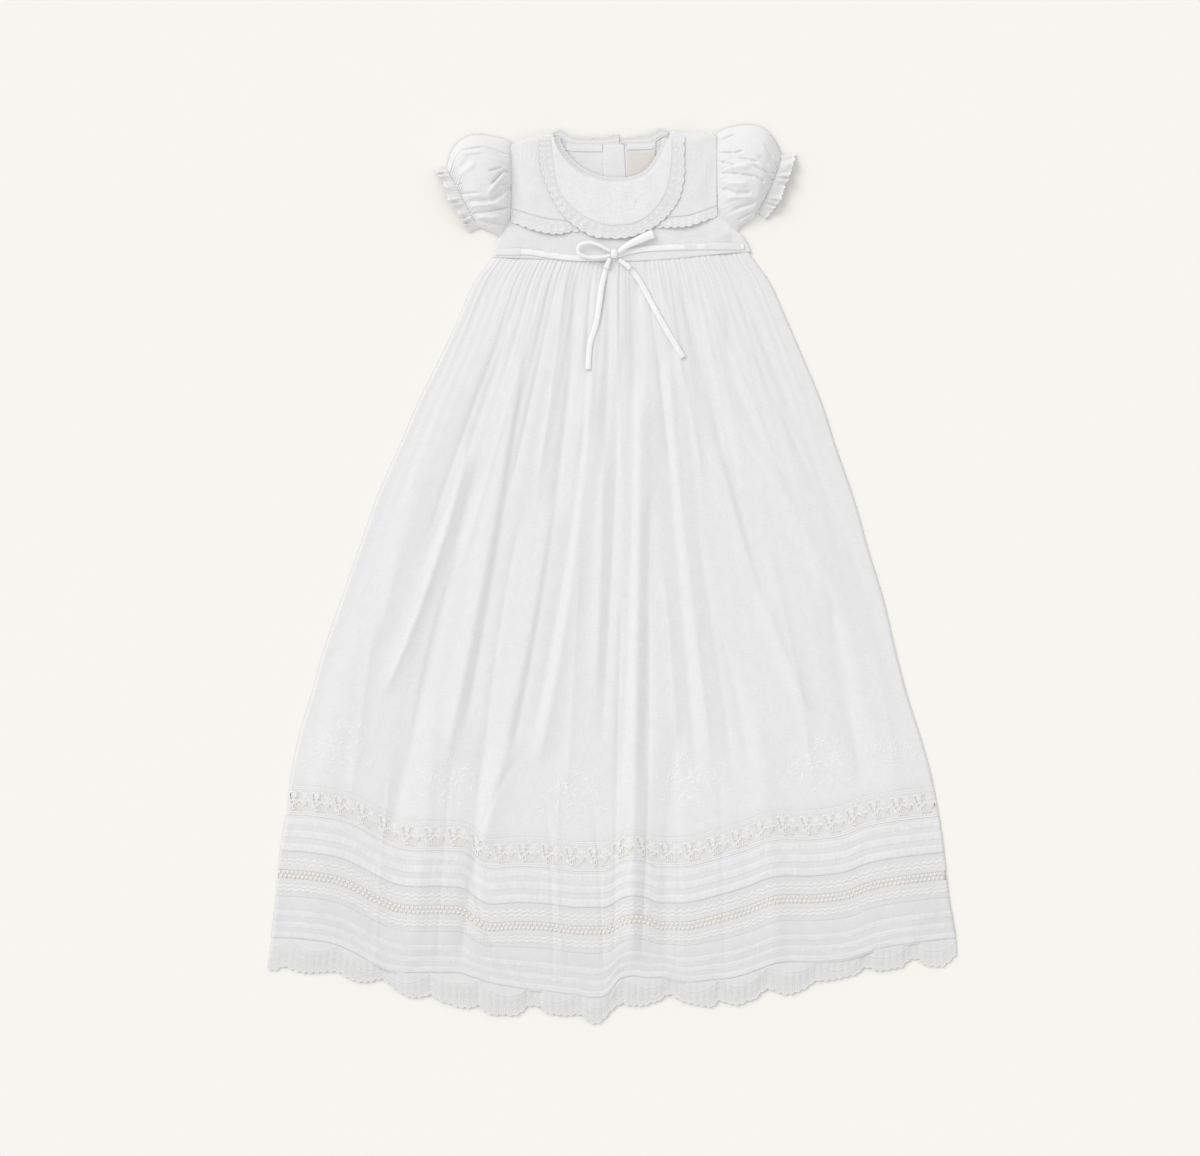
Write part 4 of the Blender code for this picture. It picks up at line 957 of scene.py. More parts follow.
# Rows of dots, by their level, pitch and radius
DOT_ROWS = ((10.2, WAVE_PITCH, 0.8), (39.6, 0.5 * WAVE_PITCH, 0.6), (3.6, 0.5 * WAVE_PITCH, 0.6))


def beading_pattern(x, y):
    """The two scalloped laces and the knotted ladder between them."""
    wave = scallop(x, WAVE_PITCH)
    full = [0.6 * cord(y - 6.4 + 1.4 * scallop(x + 0.5 * WAVE_PITCH, WAVE_PITCH), 0.7)]
    for level, bulge in WAVY_CORDS:
        full.append(np.clip(1.6 * (1.0 - np.abs(y - level - bulge * 1.9 * wave) / 1.05), 0.0, 1.0))
    for level in STRAIGHT_CORDS:
        full.append(cord(y - level, 0.6))
    for level, pitch, radius in DOT_ROWS:
        full.append(np.clip(2.0 * oval(x % pitch, y, (0.5 * pitch, level), (radius, radius)), 0.0, 0.8))
    thread = ladder_threads(x, y)
    inside = (y > LADDER[0]) & (y < LADDER[1])
    return np.where(inside, thread, most(*full)), inside & (thread < 0.12)


def ladder_threads(x, y):
    """Threads that cross from knot to knot and up to the edges of the ladder."""
    first, second = KNOT_ROWS
    phase = (x / KNOT_PITCH) % 1.0
    upper = np.abs(phase - 0.5) * KNOT_PITCH
    lower = np.minimum(phase, 1.0 - phase) * KNOT_PITCH
    t = (y - first) / (second - first)
    slant = cord(upper - 0.5 * KNOT_PITCH * t, 0.45)
    full = np.select([y < first, y > second], [cord(upper, 0.4), cord(lower, 0.4)], slant)
    knots = [np.clip(1.6 * (1.0 - np.hypot(distance, y - level)), 0.0, 1.0)
             for level, distance in ((first, upper), (second, lower))]
    return most(full, *knots)


def add_beading_lace():
    """Beading lace: an open ladder of knots between two scalloped edges."""
    top, bottom = BEADING_BAND
    marks = np.concatenate((np.linspace(0.0, LADDER[0] - 0.2, 21), np.linspace(LADDER[0], LADDER[1], 23),
                            np.linspace(LADDER[1] + 0.2, bottom - top, 19)))
    rows = len(marks) - 1

    def pattern(u, v):
        down = np.interp(v * rows, np.arange(rows + 1), marks)
        return (down, *beading_pattern(u * HEM_WIDTH, down))

    def place(u, v):
        down, full, _ = pattern(u, v)
        x, y = band_place(u, top + down)
        return x, y, skirt_top(u, y) + LACE_LEVEL + 0.4 * full, u * HEM_WIDTH, top + down, full

    piece = grid_cloth("beading_lace_front_open", 1150, rows, place, wall=0.0,
                       gaps=lambda u, v: pattern(u, v)[2])
    # Lace darkened a little as painted shade.
    dress(piece, "lace", ["beading_lace_front"], finish="lace_beading")
    back_band("beading_lace_back", BEADING_BAND, 12, 0.1, behind_lace=True)
    add_knots(top)


def add_knots(top):
    """Round knots along both rows of the ladder, as one mesh."""
    mesh = bmesh.new()
    count = int(HEM_WIDTH / KNOT_PITCH)
    for row, level in enumerate(KNOT_ROWS):
        numbers = np.arange(count) + (0.5 if row == 0 else 1.0)
        shares = numbers * KNOT_PITCH / HEM_WIDTH
        xs, ys = band_place(shares, top + level)
        heights = skirt_top(shares, ys)
        for x, y, z in zip(xs[:-1], ys, heights):
            made = bmesh.ops.create_uvsphere(mesh, u_segments=8, v_segments=5, radius=KNOT_RADIUS * MM)
            bmesh.ops.scale(mesh, vec=(1.0, 1.0, KNOT_FLATNESS), verts=made["verts"])
            bmesh.ops.translate(mesh, vec=(x * MM, y * MM, (z - KNOT_SINK) * MM), verts=made["verts"])
    dress(plain_piece("beading_knots", mesh, 1.0), "lace")


# Fans of the hem lace, by the share of the hem where they start and that one takes
FAN_START = 0.028
FAN_PITCH = 0.0697
ARC_DEPTH = 8.6
PICOTS = 7
FAN_CENTRE = 16.0
FAN_RIBS = 112.0
RING_PITCH = 6.2


def fan_turn(share):
    return (share - FAN_START) / FAN_PITCH


def hem_tip(share, shorter=0.0):
    """How far below the lace line the scalloped hem reaches."""
    turn = fan_turn(share)
    picot = 1.7 * np.abs(np.sin(math.pi * PICOTS * turn)) ** 0.8 - 1.0
    drop = HEM_EDGE.read("drop", "share", share) + picot - shorter
    return np.maximum(drop, HEM_BAND_TOP + HEM_LEAST)


def fan_pattern(share, down):
    """How full a fan is: plain above its arc, corded along it, with ribs that spread to the edge."""
    turn = fan_turn(share) % 1.0
    across = (turn - 0.5) * FAN_PITCH * HEM_WIDTH
    beyond = down - (ARC_DEPTH * np.sin(math.pi * turn) ** 0.9 + 0.4)
    spread = np.arctan2(across, down + FAN_CENTRE)
    reach = np.hypot(across, down + FAN_CENTRE)
    ribs = np.clip(0.25 + np.cos(spread * FAN_RIBS), 0.0, 1.0)
    rings = np.minimum(0.6, cord(reach % RING_PITCH - 0.5 * RING_PITCH, 0.6))
    full = most(np.where(beyond < 0.0, 0.42, 0.12), np.where(beyond > 2.6, 0.6 * ribs, 0.0),
                cord(beyond - 0.5, 0.6), cord(beyond - 2.4, 0.6), np.where(beyond > 3.0, rings, 0.0))
    return full, beyond, ribs


def hem_top(share, y, from_edge):
    """Height of the outside of the hem lace, which settles on the surface towards its edge."""
    settled = 0.85 * smooth(1.0 - from_edge / 24.0)
    top = skirt_top(share, y)
    return top + settled * np.minimum(0.0, FRONT_BED + 0.35 - top)


def hem_band(name, columns, rows, front):
    """Hem lace cut in fans."""
    def place(u, v):
        tip = hem_tip(u, 0.0 if front else 2.0)
        drop = HEM_BAND_TOP + (tip - HEM_BAND_TOP) * v
        x, y = band_place(u, drop)
        full, beyond, ribs = fan_pattern(u, drop - HEM_BAND_TOP)
        full = np.maximum(full, 0.9 * (1.0 - smooth((tip - drop) / 1.1)))
        top = hem_top(u, y, tip - drop)
        if not front:
            level = np.maximum(BACK_LEVEL, top - LACE_BACK - 0.2)
            return x + back_inset(u), y, level, u * HEM_WIDTH, drop, full
        frill = 0.12 * ribs * smooth((beyond - 2.0) / 4.0)
        raised = 0.25 * np.exp(-((beyond - 0.5) / 0.6) ** 2)
        return x, y, top + LACE_LEVEL + 0.15 * full + raised + frill, u * HEM_WIDTH, drop, full

    if front:
        piece = grid_cloth(name + "_open", columns, rows, place, wall=0.0)
        # Lace darkened as painted shade.
        dress_sheet(piece, "lace", name, "hem_lace", "lace_hem")
    else:
        piece = grid_cloth(name + "_cloth", columns, rows, place, wall=0.6)
        # Painted shade: the back of the hem lace as it shows through its openings.
        dress_sheet(piece, "lace", name, "hem_lace", finish="lace_behind_painted_shade")


def add_hem_lace():
    """Deep hem lace in fans, front and back."""
    hem_band("hem_lace_front", 1176, 34, front=True)
    hem_band("hem_lace_back", 196, 6, front=False)


def bodice_side(side, y):
    top, low = SIDE_SEAM_ENDS[side]
    return BODICE_SIDES.straight(side, "share", (top - y) / (top - low))


def bodice_under(x, y):
    """Height of the underside of the bodice front, raised clear of what lies inside the neck."""
    below = np.minimum(SHOULDER_LEVEL - y, BACK_TOP_EDGE.read("y", "x", x) + SHOULDER_OVERHANG - y)
    inward = np.minimum(x - bodice_side("left", y), bodice_side("right", y) - x)
    inward = np.minimum(inward, SHOULDER_STEEPNESS * np.maximum(0.0, below))
    return FRONT_BED + NECK_LIFT * smooth(inward / NECK_LIFT_ROLL)


def crease_rise(table, x, y):
    """What short straight creases, each from one point to another, add to a height."""
    total = 0.0
    for x1, y1, x2, y2, width, rise in table.rows:
        dx = x2 - x1
        dy = y2 - y1
        length = math.hypot(dx, dy)
        along = ((x - x1) * dx + (y - y1) * dy) / (length * length)
        away = ((y - y1) * dx - (x - x1) * dy) / length
        fade = smooth((along + 0.15) / 0.4) * smooth((1.15 - along) / 0.4)
        total = total + rise * fade * np.exp(-(away / width) ** 2)
    return total


BODICE_CREASES = Table(
    "x1 y1 x2 y2 width rise",
    (-106, 316, -70, 306, 4, 0.8), (-104, 300, -60, 297, 3, -0.5), (-98, 330, -88, 300, 4, 0.6),
    (122, 320, 90, 306, 4, 0.8), (116, 330, 108, 300, 4, -0.7), (104, 318, 70, 312, 3, 0.5),
    (30, 315, 60, 308, 5, 0.5), (-50, 312, -20, 300, 5, 0.5), (84, 306, 120, 303, 3, -0.5),
    (-20, 312, 25, 309, 4, -0.4), (-86, 318, -78, 300, 3, -0.4), (96, 330, 92, 306, 3, 0.4),
)
CAPE_CREASES = Table(
    "x1 y1 x2 y2 width rise",
    (-88, 352, -66, 342, 6, 0.6), (-90, 392, -84, 345, 4, -0.4), (80, 350, 94, 392, 5, 0.5),
    (-70, 385, -66, 350, 5, 0.4), (70, 338, 92, 345, 5, -0.4), (60, 400, 92, 398, 4, 0.4),
)


def bodice_top(x, y):
    return bodice_under(x, y) + FRONT_WALL + crease_rise(BODICE_CREASES, x, y)


def cape_level(x, y):
    """Height of the cape and its lace, apart from creases and curls."""
    return bodice_under(x, y) + FRONT_WALL + LAYER_GAP + TRIM_WALL


def cape_top(x, y):
    return cape_level(x, np.minimum(y, CAPE_TOP)) + crease_rise(CAPE_CREASES, x, y)


def collar_top(x, y):
    return cape_top(x, y) + LAYER_GAP + TRIM_WALL


def waist_at(x):
    return WAIST_SEAM.read("y", "share", (x - SHOULDER_LEFT) / (SHOULDER_RIGHT - SHOULDER_LEFT))


def hem_roll(distance, reach=1.1, depth=0.35):
    """How far a turned edge rounds down near its rim."""
    return -depth * (1.0 - np.clip(distance / reach, 0.0, 1.0)) ** 2


def upright_panel(name, grid, top_edge, low_edge, height, wall, widen=True, left=None, right=None):
    """A panel whose columns hang from a top edge to a lower edge, fanned out to the side seams."""
    first = SHOULDER_LEFT if left is None else left
    last = SHOULDER_RIGHT if right is None else right

    def place(u, v):
        x = first + (last - first) * u
        top = top_edge.read("y", "x", x)
        low = low_edge(x)
        y = top + (low - top) * v
        if widen:
            low_x = BODICE_SIDES.straight("left", "share", v) if left is None else left
            high_x = BODICE_SIDES.straight("right", "share", v) if right is None else right
            x = low_x + (high_x - low_x) * u
        rim = np.minimum(np.minimum(u, 1.0 - u) * (last - first), np.minimum(top - y, y - low))
        return x, y, height(x, y) + hem_roll(rim), x, -y, 0.45 * np.exp(-rim / 2.5)

    return grid_cloth(name + "_cloth", *grid, place, wall=wall)


def add_bodice():
    """The bodice front, and its back in two halves."""
    piece = upright_panel("bodice_front", (150, 70), FRONT_TOP_EDGE, waist_at, bodice_top, 0.5)
    dress_sheet(piece, "lawn", "bodice_front", "bodice_front")
    for side, left, right in (("left", None, BACK_OPENING - SEAM_GAP), ("right", BACK_OPENING, None)):
        name = "bodice_back_" + side
        piece = upright_panel(name, (64, 48), BACK_TOP_EDGE, waist_at, lambda x, y: BACK_LEVEL, 0.9,
                              left=left, right=right)
        dress_sheet(piece, "lawn", name, "bodice_back")


EDGING_PITCH = 7.0
# Edgings of the cape and the round collar: how deep their scallops are, how far from the edge their
# wavy cords run, and the level and size of their small flowers
CAPE_EDGING = (1.5, (0.6, 3.4), 3.6, (1.5, 1.1))
COLLAR_EDGING = (1.2, (0.6, 3.2), 4.2, (1.6, 1.2))


def edging_pattern(along, down, deep, style):
    """How full a scalloped edging is: a cord at its seam, wavy cords along its edge, and flowers."""
    scallops, cords, level, size = style
    wave = scallops * (1.0 - scallop(along, EDGING_PITCH))
    flowers = 2.0 * oval(along % EDGING_PITCH, down, (0.5 * EDGING_PITCH, level), size)
    return most(np.clip(flowers, 0.0, 0.8), cord(down - 0.8, 0.8),
                *(cord(deep - inward - down - wave, 0.7) for inward in cords))


def add_cape():
    """The square cape over the yoke, and its scalloped lace."""
    def low(x):
        return SQUARE_CAPE.read("y", "x", x)

    def edging(u, v):
        along = (SHOULDER_RIGHT - SHOULDER_LEFT) * u
        x = SHOULDER_LEFT + along
        seam = low(x)
        drop = SQUARE_CAPE.read("drop", "x", x) + 1.5 * scallop(along, EDGING_PITCH) - 0.6
        y = seam + SEAM_TUCK - (drop + SEAM_TUCK) * v
        full = edging_pattern(along, v * drop, drop, CAPE_EDGING)
        curl = 2.2 * np.maximum(0.0, SQUARE_CAPE.read("curl", "x", x)) * smooth(v)
        frill = 0.35 * ripple(x * 0.55, 31) * smooth(v * 1.4)
        dip = 0.5 * smooth((y - seam + 0.8) / 1.2)
        return x, y, cape_level(x, y) + curl + frill + 0.15 * full - 0.4 - dip, along, v * drop, full

    piece = upright_panel("cape_collar", (150, 48), FRONT_TOP_EDGE, low, cape_top, 0.5, widen=False)
    dress_sheet(piece, "lawn", "cape_collar", "cape_collar")
    piece = grid_cloth("cape_lace_open", 420, 20, edging, wall=0.0)
    dress_sheet(piece, "lace", "cape_lace", "cape_lace")


COLLAR_STEPS = ROUND_COLLAR.numbered()
COLLAR_LENGTH = 190.0
COLLAR_LACE_LENGTH = 250.0
NECK_SCALLOPS = 34.0


def collar_station(u, edge):
    t = u * (len(COLLAR_STEPS.rows) - 1)
    return COLLAR_STEPS.read(edge + "_x", "step", t), COLLAR_STEPS.read(edge + "_y", "step", t)


def between_edges(u, v, first, last, gap=0.0, longer=0.0):
    """A point a share of the way from one line of the collar to another, and the way between them."""
    x1, y1 = collar_station(u, first)
    x2, y2 = collar_station(u, last)
    length = np.hypot(x2 - x1, y2 - y1)
    t = (gap + (length + longer - gap) * v) / length
    return x1 + (x2 - x1) * t, y1 + (y2 - y1) * t, length


def collar_cloth(u, v):
    x, y, length = between_edges(u, v, "neck", "seam")
    roll = hem_roll(np.minimum(v, 1.0 - v) * length, 1.4, 0.5)
    slack = 0.25 * ripple(u * 26.0, 41) * np.sin(math.pi * v)
    return x, y, collar_top(x, y) + roll + slack, u * COLLAR_LENGTH, v * length, 0.75


def collar_edging(u, v):
    along = u * COLLAR_LACE_LENGTH
    longer = 1.3 * scallop(along, EDGING_PITCH) - 0.7
    x, y, length = between_edges(u, v, "seam", "lace", -SEAM_TUCK, longer)
    down = v * length
    full = edging_pattern(along, down, length, COLLAR_EDGING)
    frill = 0.45 * ripple(along * 0.5, 42) * smooth(v * 1.3)
    dip = 0.5 * smooth(1.15 - down / 2.0)
    return x, y, collar_top(x, y) + frill + 0.15 * full - 0.35 - dip, along, down, full


def neck_edging(u, v):
    """The lace that peeps out inside the front neckline, square to the collar's neck edge."""
    x, y = collar_station(u, "neck")
    x1, y1 = collar_station(np.maximum(0.0, u - 0.02), "neck")
    x2, y2 = collar_station(np.minimum(1.0, u + 0.02), "neck")
    length = np.hypot(x2 - x1, y2 - y1)
    wave = 0.7 * scallop(u * NECK_SCALLOPS, 1.0, 1.0) - 0.5
    out = (NECK_LACE_SET + NECK_LACE_WIDTH + wave) * v - 1.0
    z = FRONT_BED + TRIM_WALL + SEAM_GAP + TRIM_WALL + 1.6 * smooth(1.0 - v)
    full = 0.9 * ((v > 0.85) | (np.abs(v - 0.35) < 0.1))
    return x - (y2 - y1) / length * out, y + (x2 - x1) / length * out, z, u * 160.0, v * 5.0, full


def add_round_collar():
    """The round collar, the lace round it, and the lace that peeps inside the neckline."""
    piece = grid_cloth("round_collar_cloth", 200, 40, collar_cloth)
    dress_sheet(piece, "lawn", "round_collar", "round_collar")
    piece = grid_cloth("round_collar_lace_open", 520, 20, collar_edging, wall=0.0)
    dress_sheet(piece, "lace", "round_collar_lace", "round_collar_lace")
    piece = grid_cloth("neck_lace_front_open", 300, 8, neck_edging, wall=0.0)
    # The lace inside the neckline is darkened as painted shade.
    dress_sheet(piece, "lace", "neck_lace_front", "neck_lace_front",
                "lace_neck")


def standing_lace(side, table):
    """One half of the lace that stands round the back neck."""
    low, high = table.column("x")[[0, -1]]

    def place(u, v):
        x = low + (high - low) * u
        seam = table.straight("seam", "x", x)
        edge = table.straight("edge", "x", x) + 0.8 * scallop(x, 4.6, 1.0) - 0.3
        y = edge + (seam - 1.5 - edge) * v
        full = most(1.0 * (v < 0.16), 0.9 * (np.abs(v - 0.62) < 0.1))
        lean = 0.5 * smooth(1.0 - v) + 0.35 * ripple(x * 0.4, 51) * (1.0 - v)
        return x, y, BACK_WALL + 0.4 + lean + 0.25 * full, x, v * 9.0, full

    name = "neck_lace_back_" + side
    piece = grid_cloth(name + "_open", 120, 12, place, wall=0.0)
    length = NECK_LACE_FULLNESS * (high - low) * MM
    dress(piece, "lace", [name],
          length * NECK_LACE_DEPTH * MM)


def neck_panel(name, table):
    """A flat piece that shows inside the neck, stitched round its edge."""
    low, high = table.column("x")[[0, -1]]
    label = name == "neck_label"
    slant = PLACKET_SLANT if name == "placket" else 0.0
    level = FRONT_BED + (0.25 if label else 0.45)

    def place(u, v):
        x = low + (high - low) * u
        top = table.straight("high", "x", x)
        bottom = table.straight("low", "x", x)
        y = top + (bottom - top) * v
        rim = np.minimum(np.minimum(u, 1.0 - u) * (high - low), np.minimum(v, 1.0 - v) * (top - bottom))
        x = x + slant * v * smooth((u - 0.6) / 0.4)
        stitched = np.exp(-((rim - 1.3) / 0.35) ** 2)
        bow = 0.25 * ripple(x * 0.12 + y * 0.1, 52)
        return x, y, level + bow - 0.25 * stitched + hem_roll(rim), x, -y, 0.8 * stitched

    piece = grid_cloth(name + "_cloth", max(24, int(1.2 * (high - low))), 40, place, wall=0.35)
    deep = float(np.mean(table.column("high") - table.column("low")))
    dress(piece, "label" if label else "lawn", [name],
          (high - low) * deep * MM * MM)


def add_back_neck():
    """Standing lace round the back neck, the facings, the placket and the blank label."""
    standing_lace("left", NECK_LACE_LEFT)
    standing_lace("right", NECK_LACE_RIGHT)
    for name, table in INSIDE_NECK.items():
        neck_panel(name, table)


def gathers(share, away, size, seed):
    """Narrow creases that run away from a gathered seam, each to its own length."""
    count, reach, depth = size
    wander = share * count + 0.35 * ripple(share * count * 0.8, seed)
    crease = np.abs(np.cos(math.pi * wander)) ** 0.45 - 1.0
    length = np.maximum(0.25, 1.0 + 0.9 * ripple(share * count * 0.6, seed + 1)) * reach
    uneven = np.maximum(0.2, 0.8 + 0.7 * ripple(share * count * 0.9, seed + 2))
    return depth * uneven * crease * np.exp(-away / length)


def frill_reach(share, v, seed):
    """How far the uneven edge of a cuff frill stands out, less its seam under the sleeve's edge."""
    scallops = scallop(share * 13.0 + 0.5 * ripple(share * 16.0, seed), 1.0, 1.0)
    uneven = 1.6 * scallops - 0.4 + 1.5 * ripple(share * 13.0, seed + 2)
    return uneven * smooth(v * 1.6 - 0.6) - SEAM_TUCK * smooth(1.0 - 5.0 * v)


def frill_rise(share, v, seed):
    """The waves and gathers of a cuff frill."""
    wave = np.sin(2 * math.pi * (share * 6.5 + 0.7 * ripple(share * 12.0, seed) + 0.12 * v))
    uneven = 0.8 + 0.7 * ripple(share * 15.0, seed + 3)
    return (FRILL_WAVE * wave * uneven * smooth(v * 1.2) - 0.9 * smooth(1.0 - 4.0 * v)
            + gathers(share, v, FRILL_GATHERS, seed + 7))


def puff_rise(side, share, v, x, y, seed):
    """The creases of a puff sleeve, and its gathers at both ends."""
    slack = 0.2 * ripple(share * 22.0 + v * 5.0, seed + 5)
    return (crease_rise(SLEEVE_CREASES[side], x, y) + gathers(share, v, ARMHOLE_GATHERS, seed + 7)
            + gathers(share, 1.0 - v, CUFF_GATHERS, seed + 11) + slack)


def sleeve_tube(side, word, frill):
    """A puff sleeve or its frill: a tube that lies on its flat underside, open at both ends."""
    kind = "cuff_frill" if frill else "sleeve"
    table = (CUFF_FRILLS if frill else SLEEVES)[word]
    steps = table.numbered()
    last = len(table.rows) - 1
    seed = SLEEVE_SEEDS[side]
    width, depth, _ = CUTS[kind]

    def place(u, v):
        row = {column: steps.read(column, "step", v * last) for column in table.names}
        turned = u if side > 0 else 1.0 - u
        above = turned <= SLEEVE_OVER
        share = np.where(above, turned / SLEEVE_OVER, 1.0 - (turned - SLEEVE_OVER) / (1.0 - SLEEVE_OVER))
        swell = np.maximum(np.sin(math.pi * np.clip(share, 0.0, 1.0)), 0.0)
        held = smooth(swell * 3.0)
        y = row["top_y"] + (row["under_y"] - row["top_y"]) * share
        seam_x = bodice_side(word, y) + side * SEAM_TUCK
        bow = side * row["bow"] * 4.0 * share * (1.0 - share)
        if frill:
            bow = bow - side * frill_reach(share, v, seed)
        x = row["top_x"] + (row["under_x"] - row["top_x"]) * share + bow
        x = x + (seam_x - x) * row["hug"]
        z = SLEEVE_RIM + SLEEVE_LOFT * (row["height"] - SLEEVE_RIM) * swell ** SLEEVE_FULLNESS
        if frill:
            z = z + held * frill_rise(share, v, seed)
            full = np.where(v > 0.82, 0.9, 0.25)
        else:
            z = z + held * puff_rise(side, share, v, x, y, seed)
            level = bodice_top(seam_x, y) - ARMHOLE_DROP
            z = np.where(above, level + (z - level) * smooth((v + 0.02) / 0.2), z)
            full = 0.25 * np.exp(-v / 0.05)
        z = np.where(above, np.maximum(z, SLEEVE_FLOOR), SLEEVE_UNDERSIDE)
        return x, y, z, u * width / MM, v * depth / MM, full

    name = kind + "_" + word
    piece = grid_cloth(name + "_cloth", *((300, 16) if frill else (240, 96)), place, wall=0.0)
    dress_sheet(piece, "lace" if frill else "lawn", name, kind)


LEFT_SLEEVE_CREASES = Table(
    "x1 y1 x2 y2 width rise",
    (-137, 388, -116, 391, 1.1, -2.1), (-116, 391, -94, 383, 1.1, -2.1),
    (-138, 384, -119, 386, 1.6, 1.7), (-106, 386, -94, 380, 1, -1.9), (-112, 368, -100, 372, 1, -2.1),
    (-110, 356, -99, 369, 1.2, -3.2), (-99, 369, -91, 368, 1.2, -3.2), (-112, 348, -99, 364, 1.8, 2.4),
    (-101, 355, -91, 360, 1, -1.7), (-132, 341, -110, 341, 2.2, -3.4), (-110, 341, -98, 350, 2.2, -3.4),
    (-98, 350, -91, 356, 2.2, -3.4), (-139, 348, -122, 348, 1.1, -2.1), (-128, 330, -115, 331, 1.1, -2.6),
    (-115, 331, -93, 336, 1.1, -2.6), (-130, 336, -103, 338, 2.2, 1.9), (-125, 326, -103, 326, 1.8, 1.9),
    (-121, 323, -93, 319, 1.1, -2.2), (-125, 318, -110, 319, 1.1, -2.1),
    (-144, 355, -136, 358, 0.8, -1.5), (-138, 371, -130, 380, 2.9, -1.9), (-141, 364, -125, 375, 2.9, 1.7),
)
RIGHT_SLEEVE_CREASES = Table(
    "x1 y1 x2 y2 width rise",
    (98, 386, 113, 385, 1, -2.4), (113, 385, 120, 387, 1, -2.4), (98, 378, 114, 373, 1.1, -2.4),
    (116, 380, 127, 378, 1.1, -1.9), (127, 378, 134, 376, 1.1, -1.9), (105, 371, 126, 373, 2.5, 1.9),
    (100, 367, 118, 365, 1.2, -2.6), (118, 365, 132, 363, 1.2, -2.6), (132, 363, 140, 358, 1.2, -2.6),
    (130, 373, 144, 366, 1.1, -2.6), (147, 368, 156, 364, 0.9, -1.9), (142, 364, 153, 357, 0.9, -1.9),
    (102, 353, 113, 348, 1.8, -2.8), (113, 348, 127, 348, 1.8, -2.8), (104, 358, 124, 356, 2.5, 1.7),
    (111, 333, 134, 341, 2, -2.8), (116, 324, 134, 334, 1.1, -2.4), (101, 397, 113, 403, 0.9, -1.7),
    (140, 393, 148, 380, 1.3, -1.7), (105, 344, 127, 345, 2.3, 1.7), (134, 382, 144, 373, 2.3, -1.9),
)
SLEEVE_CREASES = {1: LEFT_SLEEVE_CREASES, -1: RIGHT_SLEEVE_CREASES}
SLEEVE_SEEDS = {1: 61, -1: 71}


def add_sleeves():
    """Puff sleeves, gathered into the armholes and cuffs, with their frills."""
    for side, word in ((1, "left"), (-1, "right")):
        sleeve_tube(side, word, frill=False)
        sleeve_tube(side, word, frill=True)


def strip_cloth(name, table, columns, height, width=None, camber=0.35):
    """A ribbon along the points of a table, slightly rounded across."""
    steps = table.numbered()
    last = len(table.rows) - 1

    def middle(t):
        return steps.read("x", "step", t), steps.read("y", "step", t)

    xs, ys = middle(np.linspace(0.0, last, 200))
    length = float(np.sum(np.hypot(np.diff(xs), np.diff(ys))))

    def place(u, v):
        t = last * u
        x, y = middle(t)
        x1, y1 = middle(np.maximum(0.0, t - 0.2))
        x2, y2 = middle(np.minimum(float(last), t + 0.2))
        run = np.hypot(x2 - x1, y2 - y1)
        wide = width if width else steps.read("width", "step", t)
        lift = steps.read("lift", "step", t) if "lift" in table.names else 0.0
        half = 0.5 * wide * (1.0 - 2.0 * v)
        z = height(x, y) + lift + camber * (0.65 - (1.0 - 2.0 * v) ** 2)
        return x - (y2 - y1) / run * half, y + (x2 - x1) / run * half, z, u * length, v, 0.0

    piece = grid_cloth(name + "_satin", columns, 8, place, wall=0.5)
    wide = width if width else float(np.mean(table.column("width")))
    dress(piece, "satin_ribbon", [name],
          area=length * wide * MM * MM)


def over_skirt(x, y):
    """A height clear of every gather and fold of the skirt round a point."""
    heights = []
    for dy in (-4.0, 0.0, 4.0):
        level = np.minimum(y + dy, 289.0)
        left, right = skirt_sides(level)
        for dx in (-4.0, -2.0, 0.0, 2.0, 4.0):
            heights.append(skirt_top((x + dx - left) / (right - left), level))
    return np.max(heights, axis=0)


RIBBON_CARRIERS = ((-107.0, -82.5), (66.0, 78.5), (84.5, 119.0))
CARRIER_WIDTH = RIBBON_WIDTH + 1.4


def over_bodice(x, y):
    return bodice_under(x, y) + FRONT_WALL + RIBBON_SET


def over_ribbon(x, y):
    return FRONT_BED + NECK_LIFT + FRONT_WALL + RIBBON_SET + 2 * RIBBON_WALL + LAYER_GAP


def tail_height(x, y):
    """Clear of the skirt, and above the waist ribbon where the tails leave the knot."""
    return np.maximum(over_skirt(x, y) + LAYER_GAP + 0.4, np.where(y > 280.0, over_ribbon(x, y), 0.0))


def add_ribbon():
    """The satin ribbon round the waist, its carriers, and the bow."""
    strip_cloth("waist_ribbon", WAIST_RIBBON, 240, over_bodice, width=RIBBON_WIDTH)
    strip_cloth("bow_loop_left", BOW_LOOP_LEFT, 120, over_ribbon, camber=0.9)
    strip_cloth("bow_loop_right", BOW_LOOP_RIGHT, 60, over_ribbon, camber=1.0)
    strip_cloth("bow_tail_left", BOW_TAIL_LEFT, 120, tail_height, camber=0.6)
    strip_cloth("bow_tail_right", BOW_TAIL_RIGHT, 120, tail_height, camber=0.6)
    add_knot()
    for number, (start, end) in enumerate(RIBBON_CARRIERS):
        add_carrier(number + 1, start, end)


def add_carrier(number, start, end):
    """A narrow band of lawn over a stretch of the ribbon."""
    def place(u, v):
        x = start + (end - start) * u
        y = WAIST_RIBBON.read("y", "x", x) + CARRIER_WIDTH * (0.5 - v)
        rim = np.minimum(v, 1.0 - v) * CARRIER_WIDTH
        ends = hem_roll(np.minimum(x - start, end - x), 1.2, 0.6)
        z = over_bodice(x, y) + 0.35 + hem_roll(rim, 1.6, 0.9) + ends + 0.08 * ripple(x * 3.0, 71)
        return x, y, z, x, -y, np.where(rim < 1.0, 0.45, 0.2)

    piece = grid_cloth("ribbon_carrier_%d" % number, max(24, int(1.5 * (end - start))), 12, place, wall=0.3)
    dress(piece, "lawn")


